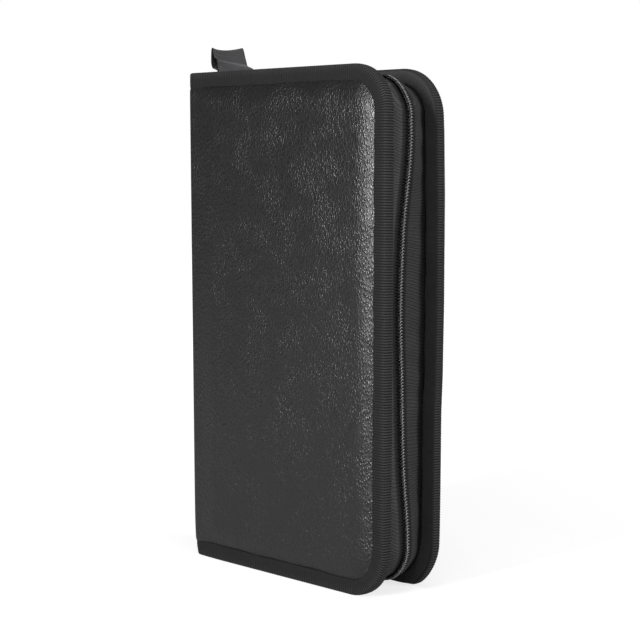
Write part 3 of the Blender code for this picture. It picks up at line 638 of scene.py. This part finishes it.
def leather_depth(way, x, z, creased):
    """Depth of the leather's face below the binding's face, all over one half of the sheet."""
    on_cover = np.clip((way - FOLD_START - FOLD * 0.5) / (22 * MM), 0, 1)
    on_cover = on_cover * on_cover * (3 - 2 * on_cover)
    from_end = np.minimum(z, HEIGHT - z)
    inset, along = inset_on_cover(x, z)
    inset = np.where(way < RUN_START, from_end, inset)
    along = np.where(way < RUN_START, np.where(z > HEIGHT / 2, way, RIM - way), along)
    past = inset - BINDING_WIDTH - seam_stray(along)
    risen = past + 1.2 * MM * (1 - on_cover)
    roll = 1 - (1 - np.clip(risen / (ROLL * (0.25 + 0.75 * on_cover)), 0, 1)) ** 2.2
    across = np.clip((x - SPINE_X - FOLD_REACH) / (FREE_X - SPINE_X - FOLD_REACH - BINDING_WIDTH),
                     0, 1)
    crown = CROWN * np.sin(across * math.pi) ** 0.8 * (1 - (2 * z / HEIGHT - 1) ** 4)
    pucker = (0.10 * MM * np.sin(along / (2.9 * MM) + 2 * np.sin(along / (13 * MM)))
              * np.exp(-np.maximum(past, 0) / (6 * MM)) * np.clip(past / (2 * MM), 0, 1))
    rise = (SPINE_RISE + (PANEL_RISE - SPINE_RISE) * on_cover + SKIN_DEPTH) * roll
    rise = rise + roll * on_cover * (crown + 0.16 * MM * slow_waves(x, z)) + pucker
    if creased:
        rise = rise - crease_depth(x, z) * roll
    return SKIN_DEPTH - rise


# %% Leather sheet
LEATHER_THICK = 0.8 * MM
LEATHER_STEP = 1.3 * MM
EDGE_INSET = 1.3 * MM               # raw edge of the sheet, hidden in the binding


def corner_cut(z):
    """How much shorter a layer of the cover is at a height, where its corners are rounded."""
    from_end = np.minimum(z, HEIGHT - z)
    reach = CORNER - EDGE_INSET
    return reach - np.sqrt(np.maximum(reach ** 2 - np.maximum(CORNER - from_end, 0) ** 2, 0))


def leather_half(name, side, creased):
    """Half the leather sheet: half the spine, the fold and one cover."""
    sheet_way = RUN_START + FREE_X - EDGE_INSET - SPINE_X - FOLD_REACH
    rows = round(sheet_way / LEATHER_STEP)
    columns = round((HEIGHT - 2 * EDGE_INSET) / LEATHER_STEP)
    sheet, share, up = cloth_grid(name, rows, columns)
    z = EDGE_INSET + up * (HEIGHT - 2 * EDGE_INSET)
    way = share * sheet_way - corner_cut(z) * np.clip((share - 0.6) / 0.4, 0, 1)
    x, _ = round_the_fold(way, 0 * way, 0 * way)
    depth = leather_depth(way, x, z, creased)
    x, y = round_the_fold(way, depth, depth)
    move_points(sheet, on_side(np.stack([x, y, z], axis=1), side))
    if sum(face.normal.y for face in sheet.data.polygons) * side < 0:
        turn_over(sheet)
    finish_sheet(sheet, LEATHER_THICK, -1, leather)
    report(sheet)
    return sheet


front_leather = leather_half("front_leather", FRONT, True)
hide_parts("front_skin", "spine_skin")
back_leather = leather_half("back_leather", BACK, False)
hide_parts("back_skin", "spine_skin")

# %% [markdown]
# ## The binding
# A ribbed tape is folded over the raw edge of the cover and sewn through, so that it lies about
# 9 mm wide on both faces. Its ribs run across it, 1.5 mm apart, and show best where it rolls
# over the edge. The section is drawn once as a closed loop and carried along the rim, and each
# rib is real: the loop shrinks a little between two ribs. The shadow between two ribs is finer
# than a pixel, so each point also keeps a number that says how light the tape is there.

# %% Section of the binding
RIB_PITCH = 1.48 * MM
RIB_DEPTH = 0.34 * MM
RIB_SAMPLES = 5
BINDING_WALL = 0.55 * MM
ROUNDING = 1.5 * MM
PLAIN_TONE = 0.24                   # how light the tape is where no rib stands out
HIDDEN_TONE = 0.3
# painted light: the smooth inner flange is made lighter, as the lamps barely reach it in the gap
INNER_PAINTED_LIGHT = 1.25                   # the inner flange is smooth and seen in the shade


def binding_section(thick):
    """Points of the section as inset, depth, outward normal and how far a rib stands out."""
    points = []
    for inset in (9.0, 8.75, 8.2, 7.2, 5.8, 4.3, 2.9):
        settle = 0.30 * MM * math.exp(-(9.0 - inset) / 0.7)
        points.append((inset * MM, settle, 0, -1, 0.38 + 0.2 * (inset < 4)))
    for step in range(6):
        angle = math.pi / 2 * step / 5
        points.append((ROUNDING * (1 - math.sin(angle)), ROUNDING * (1 - math.cos(angle)),
                       -math.sin(angle), -math.cos(angle), 0.7 + 0.3 * step / 5))
    points.append((-0.12 * MM, thick / 2, -1, 0, 1))
    outer = [(i, thick - d, ni, -nd, rib if i < 0.5 * MM else 0.25)
             for i, d, ni, nd, rib in reversed(points[:-1])]
    inner = [(9.0 * MM, thick - BINDING_WALL, 0, 0, 0), (ROUNDING, thick - BINDING_WALL, 0, 0, 0),
             (BINDING_WALL, thick - ROUNDING, 0, 0, 0), (BINDING_WALL, ROUNDING, 0, 0, 0),
             (ROUNDING, BINDING_WALL, 0, 0, 0), (9.0 * MM, BINDING_WALL + 0.2 * MM, 0, 0, 0)]
    return np.array(points + outer + inner + points[:1])


def rib_height(along):
    """Rounded ribs with narrow valleys, from 0 in a valley to 1 on a rib."""
    return np.abs(np.sin(math.pi * along / RIB_PITCH)) ** 0.9


def keep_on_points(obj, name, values):
    """Store a number on each point, for the material to read."""
    layer = obj.data.attributes.new(name, "FLOAT", "POINT")
    layer.data.foreach_set("value", np.asarray(values, "f"))


# %% Binding round a cover
def thick_difference(depth):
    """The spine is thinner than a cover, so the inner layers lie less deep there."""
    share = np.clip((depth - ROUNDING) / (COVER_THICK - 2 * ROUNDING), 0, 1)
    return (COVER_THICK - SPINE_THICK) * share


def binding_round(name, side):
    """The binding of one cover and half the spine, closed at both cut ends."""
    ribs = round(RIM / RIB_PITCH)
    section = binding_section(COVER_THICK)
    band, share, across = cloth_grid(name, ribs * RIB_SAMPLES, len(section) - 1)
    along = share * RIM
    corner = np.rint(across * (len(section) - 1)).astype(int)
    inset, depth, out_inset, out_depth, rib = section[corner].T
    flange = np.clip((inset - ROUNDING) / (BINDING_WIDTH - ROUNDING), 0, 1)
    inset = inset + seam_stray(along) * flange
    ridge = rib_height(along * ribs * RIB_PITCH / RIM)
    # painted shade in the rib valleys, painted light on the crests, a painted highlight on the
    # rolled edge
    inside = np.clip((depth - COVER_THICK / 2) / (2 * MM), 0, 1) * np.clip(inset / MM - 0.5, 0, 1)
    contrast = np.clip(2.9 * rib - 0.8, 0, 2.1)
    tone = np.maximum(PLAIN_TONE + (ridge - 0.6) * contrast + 0.06 * (rib > 0.9), 0)
    # painted light on the inner flange
    tone = tone + (INNER_PAINTED_LIGHT - tone) * inside
    keep_on_points(band, "rib", np.where(rib > 0, tone, HIDDEN_TONE))
    sink = RIB_DEPTH * (1 - ridge) * rib
    puff = 0.10 * MM * np.sin(along / (6.1 * MM) + 3 * np.sin(along / (47 * MM))) * flange
    inset = inset - sink * out_inset
    depth = depth - (sink + puff * (rib > 0)) * out_depth
    places = on_rim(along, inset, depth, depth - thick_difference(depth))
    move_points(band, on_side(places, side))
    in_edit_mode(band, lambda: bpy.ops.mesh.remove_doubles(threshold=MM / 1000),
                 lambda: bpy.ops.mesh.select_all(action="DESELECT"),
                 lambda: bpy.ops.mesh.select_non_manifold(extend=False),
                 lambda: bpy.ops.mesh.fill(use_beauty=False))
    face_out(band)
    smooth(band)
    dress(band, ribbed)
    report(band)
    return band


front_band = binding_round("front_binding_tape", FRONT)
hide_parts("front_binding", "spine_binding_top", "spine_binding_bottom")
back_band = binding_round("back_binding_tape", BACK)
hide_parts("back_binding", "spine_binding_top", "spine_binding_bottom")

# %% [markdown]
# ## The zip
# Two woven tapes come out from under the bindings and bend across the gap, and on the edge of
# each lies one side of a nylon coil. The chain isn't straight: it waves in and out round the
# case and bows inwards above the bottom corner. The wave is repeated here from the solids.

# %% Route of the chain
ZIP_WAVE = (                        # place along the rim and inset of the chain, in millimetres
    (0.0, 6.0), (0.9, 6.0), (1.2, 5.0), (1.6, 5.4), (2.05, 4.2), (2.28, 9.6), (2.45, 11.0),
    (2.62, 9.6), (2.8, 8.0), (3.0, 4.2), (3.5, 5.0), (4.1, 6.0), (5.0, 6.0),
)
TAPE_BEGIN = RUN_START + TAPE_START - FOLD_REACH


def wave_tangents():
    """The knots of the wave, and a slope at each that never overshoots."""
    knots = np.array(ZIP_WAVE)
    slopes = np.diff(knots[:, 1]) / np.diff(knots[:, 0])
    tangents = np.zeros(len(knots))
    for i, (before, after) in enumerate(zip(slopes, slopes[1:])):
        if before * after > 0:
            tangents[i + 1] = 2 * before * after / (before + after)
    return knots, tangents


def chain_inset(along):
    """Inset of the chain at a distance along the rim: a smooth curve through the knots."""
    marks = [TAPE_BEGIN, ARC_START, SIDE_START, RIM - SIDE_START, RIM - ARC_START,
             RIM - TAPE_BEGIN]
    place = np.interp(along, marks, range(6))
    knots, tangents = wave_tangents()
    index = np.clip(np.searchsorted(knots[:, 0], place, side="right") - 1, 0, len(knots) - 2)
    (x0, y0), (x1, y1) = knots[index].T, knots[index + 1].T
    t = (place - x0) / (x1 - x0)
    inset = (y0 * (2 * t ** 3 - 3 * t ** 2 + 1) + y1 * (3 * t ** 2 - 2 * t ** 3)
             + tangents[index] * (x1 - x0) * (t ** 3 - 2 * t ** 2 + t)
             + tangents[index + 1] * (x1 - x0) * (t ** 3 - t ** 2))
    return inset * MM


# %% [markdown]
# ## The tapes
# Each tape starts flat under the inner flange, turns up round its root and lies in a soft arch
# to the chain. A grid is laid along the rim by a short list of places across the tape. The
# furrow beside the binding and the edge under the coil get painted shade, kept on the points.

# %% Tapes
TAPE_WALL = 0.45 * MM
COIL_HALF = 0.95 * MM               # half the height of a coil
SLIDER_ROOM = 4.3 * MM              # the tape lies level this far from the middle
TAPE_EDGE = 0.7 * MM
TAPE_SECTION = 30                   # faces across a tape
# painted light: the front tape turns away from the lamps, so its colour is made paler
FRONT_TAPE_PAINTED_LIGHT = 1.6               # the front tape turns away from the lamps and is paler


def tape_depth_and_share(across):
    """Across a tape: its depth, and its share of the way from the binding to the chain."""
    knots = np.array(((0, 5.5, 0), (0.16, 5.5, 0.0), (0.22, 5.75, 0.0), (0.28, 6.6, 0.0),
                      (0.78, (HALF - SLIDER_ROOM) / MM, 1.0), (1, (HALF - TAPE_EDGE) / MM, 1.0)))
    return (np.interp(across, knots[:, 0], knots[:, 1]) * MM,
            np.interp(across, knots[:, 0], knots[:, 2]))


def zip_tape(name, side):
    """One tape, from its hidden root to the chain."""
    rows = round((RIM - 2 * TAPE_BEGIN) / (1.5 * MM))
    tape, share, across = cloth_grid(name, rows, TAPE_SECTION)
    along = TAPE_BEGIN + share * (RIM - 2 * TAPE_BEGIN)
    depth, web = tape_depth_and_share(across)
    eased = web * web * (3 - 2 * web)
    hidden = np.clip(1 - across / 0.2, 0, 1)
    root = ROOT_INSET - hidden * (ROOT_INSET - 3 * MM)
    edge = chain_inset(along) + COIL_HALF + TAPE_WALL
    ripple = (0.28 * MM * np.sin(along / (3.7 * MM) + 2.2 * np.sin(along / (19 * MM) + side))
              * np.sin(np.clip(web, 0, 1) * math.pi))
    inset = root + (edge - root) * eased + ripple
    # painted shade in the furrow beside the binding and on the edge under the coil
    lit = np.interp(web, (0, 0.1, 0.3, 0.45, 0.9, 0.96, 1), (0.1, 0.3, 0.8, 1, 1, 0.5, 0.1))
    keep_on_points(tape, "lit", lit * (FRONT_TAPE_PAINTED_LIGHT if side == FRONT else 1))
    move_points(tape, on_side(on_rim(along, inset, depth, depth), side))
    if side == BACK:
        turn_over(tape)
    finish_sheet(tape, TAPE_WALL, 1, twill)
    report(tape)
    return tape


front_tape = zip_tape("front_tape", FRONT)
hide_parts("front_zip_tape")
back_tape = zip_tape("back_tape", BACK)
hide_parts("back_zip_tape")


# %% [markdown]
# ## The coils
# A nylon zip is two spirals of stiff wire, each flattened and sewn to its tape, whose heads hook
# into each other. Each spiral is a curve through computed points, given its thickness by a
# bevel and made a mesh. The turns of the two sides lie half a pitch apart. Two staggered rows of
# bright glints show on them, so each turn has a painted highlight at those places.

# %% Coils
COIL_PITCH = 1.68 * MM
COIL_WIRE = 0.35 * MM               # radius of the wire
COIL_BEGIN = RUN_START + 19.8 * MM - FOLD_REACH
COIL_OFF = 0.90 * MM                # middle of one side from the middle of the chain
COIL_REACH = 1.20 * MM              # and how far its turns reach to either hand
COIL_RISE = 0.62 * MM
COIL_SKEW = 0.22
TURN_STEPS = 12                     # points in a turn
# painted highlights on a turn: their phase, and how bright
PAINTED_GLINTS = {                           # where a turn is paler: its phase, and how much
    FRONT: ((0.4, 0.6), (1.6, 1.1)),
    BACK: ((0.5, 0.9), (2.2, 0.4)),
}


def chain_point(along, up, y, side):
    """A point of the chain: its place along the rim, height above the coil's middle, and Y."""
    inset = chain_inset(along) - up
    middle = on_rim(along, inset, HALF + 0 * along, HALF + 0 * along)
    return relaxed(middle + np.stack([0 * y, side * y, 0 * y], axis=1))


def wire_through(name, places, radius, lit):
    """A round wire through a list of points, as a mesh, with a number kept on each ring."""
    curve = bpy.data.curves.new(name, "CURVE")
    curve.dimensions = "3D"
    curve.bevel_depth = radius
    curve.bevel_resolution = 1
    curve.use_fill_caps = True
    spline = curve.splines.new("POLY")
    spline.points.add(len(places) - 1)
    spline.points.foreach_set("co", np.c_[places, np.ones(len(places))].ravel())
    wire = bpy.data.objects.new(name, curve)
    bpy.context.scene.collection.objects.link(wire)
    pick_only(wire)
    bpy.ops.object.convert(target="MESH")
    wire = bpy.context.object
    ring = len(wire.data.vertices) // len(places)
    keep_on_points(wire, "lit", np.resize(np.repeat(lit, ring), len(wire.data.vertices)))
    face_out(wire)
    smooth(wire, 60)
    return wire


def coil(name, side):
    """One side of the coil: a flattened spiral whose heads reach just past the middle."""
    turns = int((RIM - 2 * COIL_BEGIN) / COIL_PITCH)
    step = np.arange(turns * TURN_STEPS) / TURN_STEPS
    shift = 0.5 if side == BACK else 0
    phase = 2 * math.pi * step
    skew = COIL_SKEW * np.sin(phase)
    along = COIL_BEGIN + (step + shift + skew / 2) * COIL_PITCH
    y = COIL_OFF - COIL_REACH * np.cos(phase)
    up = COIL_RISE * np.sin(phase)
    turned = phase % (2 * math.pi)
    # painted highlights: the turn's colour is lifted at these phases and left dark elsewhere
    paler = sum(share * np.exp(-((turned - place) / 0.4) ** 2) for place, share in PAINTED_GLINTS[side])
    made = wire_through(name, chain_point(along, up, y, side), COIL_WIRE, lit=paler)
    dress(made, nylon)
    report(made)
    return made


front_coil = coil("front_coil", FRONT)
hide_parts("front_zip_coil")
back_coil = coil("back_coil", BACK)
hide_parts("back_zip_coil")

# %% [markdown]
# ## The slider and its pull
# Both are die-cast and lacquered black, so none of their edges is sharp. The solids have the
# right shape and place, and a small bevel all over their copies gives the cast edges.

# %% Slider and pull
def cast_copy(node, name, width):
    """A copy of a solid with every sharp edge rounded."""
    cast = bpy.data.objects.new(name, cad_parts[node].data.copy())
    bpy.context.scene.collection.objects.link(cast)
    apply_modifier(cast, "BEVEL", width=width, segments=2, limit_method="ANGLE",
                   angle_limit=math.radians(35))
    smooth(cast, 40)
    dress(cast, metal)
    report(cast)
    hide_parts(node)
    return cast


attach(cast_copy("zip_slider", "slider_casting", 0.22 * MM), "slider")
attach(cast_copy("zip_pull", "pull_casting", 0.18 * MM), "pull")

# %% [markdown]
# ## The ribbon tab
# A wide ribbon is folded double and sewn over the end of the zip. It comes out of the gap
# leaning back towards the spine, creases, and stands up. Its two layers part at the near side,
# and its top edge sags. One strip is laid along routes of listed points, up the near
# layer, over the fold and down the far one. There is a route for either edge and one beside
# the near edge, and the columns between them are blended.

# %% Ribbon tab
TAB_WIDTH = 26 * MM
TAB_THICK = 0.45 * MM
TAB_ROUTES = {                      # by place across the ribbon, from -1 (near) to 1 (far):
    # distance from the spine face and height above the top edge, in millimetres
    -1.0: ((14.6, -7.0), (14.5, -3.0), (13.9, 1.0), (13.0, 4.2), (12.6, 6.6), (11.6, 8.7),
           (9.9, 10.4), (8.9, 11.5), (8.4, 13.2), (8.1, 14.9), (7.5, 15.5), (6.9, 14.8),
           (6.7, 12.3), (6.7, 9.3), (7.1, 5.8), (8.4, 3.6), (10.6, 2.9), (12.6, 1.8), (13.2, -6.6)),
    -0.8: ((15.2, -7.0), (15.1, -3.0), (14.6, 0.8), (13.9, 3.0), (13.0, 5.0), (11.7, 6.8),
           (9.9, 8.4), (9.1, 10.0), (8.5, 12.4), (8.1, 14.6), (7.4, 15.3), (6.8, 14.6),
           (6.6, 12.3), (6.6, 9.3), (7.0, 5.8), (8.4, 3.6), (10.6, 2.6), (12.8, 1.2), (13.4, -6.6)),
    1.0: ((17.2, -7.0), (17.0, -3.0), (16.6, 1.2), (15.8, 3.2), (14.4, 4.2), (12.5, 4.9),
          (10.5, 5.7), (9.5, 8.3), (8.4, 11.6), (7.1, 15.6), (6.2, 16.6), (5.4, 15.8),
          (5.2, 12.6), (5.2, 9.0), (5.8, 5.6), (7.7, 3.2), (10.2, 1.6), (12.8, -1.2), (14.0, -6.6)),
}
CREASE_KNOT = 6                     # the knot at which the near layer is creased


def smooth_through(knots, share):
    """A smooth curve through each column's knots (centripetal Catmull-Rom), by knot number."""
    ends = np.concatenate([2 * knots[:, :1] - knots[:, 1:2], knots,
                           2 * knots[:, -1:] - knots[:, -2:-1]], axis=1)
    steps = np.linalg.norm(np.diff(ends, axis=1), axis=2, keepdims=True) ** 0.5
    at = min(share * (knots.shape[1] - 1), knots.shape[1] - 1 - 1e-6)
    i = int(at)
    p0, p1, p2, p3 = (ends[:, i + k] for k in range(4))
    t1 = steps[:, i]
    t2 = t1 + steps[:, i + 1]
    t3 = t2 + steps[:, i + 2]
    t = t1 + (t2 - t1) * (at - i)
    a1 = (t1 - t) / t1 * p0 + t / t1 * p1
    a2 = (t2 - t) / (t2 - t1) * p1 + (t - t1) / (t2 - t1) * p2
    a3 = (t3 - t) / (t3 - t2) * p2 + (t - t2) / (t3 - t2) * p3
    b1 = (t2 - t) / t2 * a1 + t / t2 * a2
    b2 = (t3 - t) / (t3 - t1) * a2 + (t - t1) / (t3 - t1) * a3
    return (t2 - t) / (t2 - t1) * b1 + (t - t1) / (t2 - t1) * b2


def ribbon_tab():
    """The doubled ribbon: a painted highlight along its crease, painted shade at its rims and
    inside.
    """
    rows, columns = 162, 44
    tab, share, across = cloth_grid("ribbon_tab", rows, columns)
    places = sorted(TAB_ROUTES)
    routes = np.array([TAB_ROUTES[place] for place in places])
    column = np.linspace(-1, 1, columns + 1)
    knots = np.array([[[np.interp(c, places, routes[:, k, axis]) for axis in (0, 1)]
                       for k in range(routes.shape[1])] for c in column])
    sheet = np.array([smooth_through(knots, s) for s in np.linspace(0, 1, rows + 1)])
    row_at = np.rint(share * rows).astype(int)
    column_at = np.rint(across * columns).astype(int)
    out, up = sheet[row_at, column_at].T * MM
    middle = 2 * across - 1
    height = np.clip(up / (17 * MM), 0, 1)
    sag = 1.5 * MM * height ** 2 * (1 - middle ** 2) * (1 - 0.35 * middle)
    y = middle * TAB_WIDTH / 2 * (1 - 0.04 * height)
    knot = share * (routes.shape[1] - 1)
    crease = np.exp(-((knot - CREASE_KNOT) / 0.3) ** 2)
    below = np.clip((CREASE_KNOT - knot) / 1.0, 0, 1)
    hem = np.exp(-((np.abs(middle) - 0.86) / 0.03) ** 2) * (np.sin(up / (0.5 * MM)) > -0.2)
    rim = np.clip((np.abs(middle) - 0.93) / 0.05, 0, 1)
    inside = share > 10.5 / (routes.shape[1] - 1)
    # painted highlight on the crease, painted shade below it, at the rims and inside the fold
    keep_on_points(tab, "lit", np.clip(0.38 + 0.5 * crease - 0.02 * below + 0.08 * hem - 0.2 * rim
                                       - 0.08 * inside, 0, 1))
    move_points(tab, np.stack([SPINE_X + out, y, HEIGHT + up - sag], axis=1))
    finish_sheet(tab, TAB_THICK, 0, satin)
    report(tab)
    return tab


tab = ribbon_tab()
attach(tab, "spine")
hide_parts("zip_end_tab")

# %% [markdown]
# ## Inside the covers
# A cover is a stack: board in the middle, foam and leather outside, lining inside, with all
# their edges in the binding. When a cover swings open, its lining shows: thin black cloth that
# is glued to the board. The three layers have one outline, so one function cuts them all.

# %% Boards, foam and linings
BOARD_DEPTH = 3.3 * MM
BOARD_THICK = 1.2 * MM
FOAM_THICK = 1.0 * MM


def inner_layer(name, side, start, depth, thick, mat, crown=0.0):
    """A layer inside a cover, cut to the cover's outline and laid at a depth below its face."""
    rows, columns = 40, 70
    layer, share, up = cloth_grid(name, rows, columns)
    z = EDGE_INSET + up * (HEIGHT - 2 * EDGE_INSET)
    x = (start + share * (FREE_X - EDGE_INSET - start)
         - corner_cut(z) * np.clip((share - 0.6) / 0.4, 0, 1))
    inset, _ = inset_on_cover(x, z)
    settled = np.clip((inset - BINDING_WIDTH) / (6 * MM), 0, 1)
    wrinkle = 0.12 * MM * slow_waves(z, x * 1.7) * settled
    y = -(HALF - depth) + wrinkle * (crown == 0) - crown * settled
    move_points(layer, on_side(np.stack([x, y, z], axis=1), side))
    if side == FRONT:
        turn_over(layer)
    finish_sheet(layer, thick, 1, mat, angle=40)
    report(layer)
    return layer


linings, stiffeners = [], []
for side, cover in SIDES:
    panel = inner_layer(f"{cover}_lining_cloth", side, SPINE_X + LINING_DEPTH + 0.7 * MM,
                        LINING_DEPTH, 0.4 * MM, lining_cloth)
    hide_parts(f"{cover}_lining")
    linings.append(panel)
    card = inner_layer(f"{cover}_stiffener", side, SPINE_X + FOLD_REACH, BOARD_DEPTH,
                       BOARD_THICK, board)
    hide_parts(f"{cover}_board")
    pad = inner_layer(f"{cover}_foam", side, SPINE_X + FOLD_REACH, BOARD_DEPTH - BOARD_THICK,
                      FOAM_THICK, foam, crown=0.5 * MM)
    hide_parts(f"{cover}_padding")
    stiffeners.append((card, pad))

# %% [markdown]
# ## Sleeves
# The discs sit in two rows of pockets: each page is a pale fleece with clear film welded to
# both its sides. The pages are bound at the spine, and their free edges lie a little apart.

# %% Pages
PAGE_COUNT = 24
PAGE_THICK = 0.6 * MM
sleeve_low, sleeve_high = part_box("disc_sleeves")


def sleeve_page(number):
    """One page, as thin cloth that fans out a little towards its free edge."""
    page, share, up = cloth_grid(f"page_{number:02d}", 20, 34)
    pitch = (sleeve_high.y - sleeve_low.y) / PAGE_COUNT
    middle = sleeve_low.y + (number + 0.5) * pitch
    x = sleeve_low.x + share * (sleeve_high.x - sleeve_low.x)
    z = sleeve_low.z + up * (sleeve_high.z - sleeve_low.z)
    curl = 0.12 * MM * np.sin(share * 5 + number) * np.sin(up * 7 + 2 * number)
    move_points(page, np.stack([x, middle + curl * share, z], axis=1))
    finish_sheet(page, PAGE_THICK, 0, page_cloth, angle=60)
    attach(page, "spine")
    return page


pages = [sleeve_page(number) for number in range(PAGE_COUNT)]
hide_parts("disc_sleeves")
print("pages", len(pages))


# %% [markdown]
# ## Clear pockets
# Two clear films are welded on each side of a page, one above the other, and each has a thumb
# cut in its open edge. Only the outer pages are ever seen from their face, so only their four
# films are made. Each bulges a little, as over an empty pocket.

# %% Film pockets
POCKET_GAP = 2 * MM                 # weld between the upper and the lower pocket
THUMB_RADIUS = 11 * MM
FILM_THICK = 0.12 * MM


def film_pocket(name, side, low, high):
    """A clear film over half an outer page, with a thumb cut in its free edge."""
    pocket, share, up = cloth_grid(name, 40, 44)
    width = sleeve_high.x - sleeve_low.x - 7 * MM
    from_middle = np.abs(2 * up - 1) * (high - low) / 2
    cut = np.sqrt(np.maximum(THUMB_RADIUS ** 2 - from_middle ** 2, 0))
    x = sleeve_low.x + 4 * MM + share * (width - cut * np.clip((share - 0.5) / 0.5, 0, 1))
    z = low + up * (high - low)
    bulge = 0.5 * MM * np.sin(share * math.pi) ** 0.5 * np.sin(up * math.pi) ** 0.5
    face = sleeve_low.y if side == FRONT else sleeve_high.y
    move_points(pocket, np.stack([x, face + side * (0.15 * MM + bulge), z], axis=1))
    finish_sheet(pocket, FILM_THICK, 0, film, angle=50)
    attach(pocket, "spine")
    report(pocket)
    return pocket


films = []
for side, cover in SIDES:
    middle = (sleeve_low.z + sleeve_high.z) / 2
    films.append(film_pocket(f"{cover}_low_film", side, sleeve_low.z + 2 * MM,
                             middle - POCKET_GAP / 2))
    films.append(film_pocket(f"{cover}_high_film", side, middle + POCKET_GAP / 2,
                             sleeve_high.z - 2 * MM))

# %% [markdown]
# ## What moves with what
# The leather and the binding cross the folds; each half only has its placing baked into its
# points. Tape, coil and lining ride on their cover.

# %% Bodies
halves = list(zip(SIDES, (front_leather, back_leather), (front_band, back_band),
                  (front_tape, back_tape), (front_coil, back_coil), linings, stiffeners))
for (side, cover), skin, band, strip, spiral, lining, layers in halves:
    for piece in (skin, band):
        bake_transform(piece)
    for piece in (strip, spiral, lining, *layers):
        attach(piece, f"{cover}_cover")
print("halves", [cover for (_, cover), *_ in halves])

# %% [markdown]
# ## The flat sizes of the sheets
# Each sheet's flat size is printed: the side that it was cut to is given, and the other is
# found from half the area of its two faces. A tape's width is found from its own area and its
# length along the rim. The foam is soft all through, and isn't listed.

# %% Flat sizes of the sheets
def cut_from(piece, length=None, width=None):
    """Print a sheet's flat size: its flat area is half the area of its two faces."""
    area = sum(face.area for face in piece.data.polygons) / 2
    if width is None:
        width = area / length
    if length is None:
        length = area / width
    print(piece.name, "flat", round(width / MM, 1), "x", round(length / MM, 1), "mm")


SHEET_WIDE = FREE_X - EDGE_INSET - SPINE_X + SPINE_FLAT
for (_, cover), skin, band, strip, _, lining, _ in halves:
    cut_from(skin, width=SHEET_WIDE, length=HEIGHT)
    cut_from(band, length=RIM)
    cut_from(strip, length=RIM - 2 * TAPE_BEGIN)
    cut_from(lining, width=FREE_X - SPINE_X, length=HEIGHT)
cut_from(tab, width=TAB_WIDTH)
for page in pages:
    cut_from(page, width=sleeve_high.x - sleeve_low.x)
for pocket in films:
    cut_from(pocket, length=(sleeve_high.z - sleeve_low.z - POCKET_GAP) / 2 - 2 * MM)
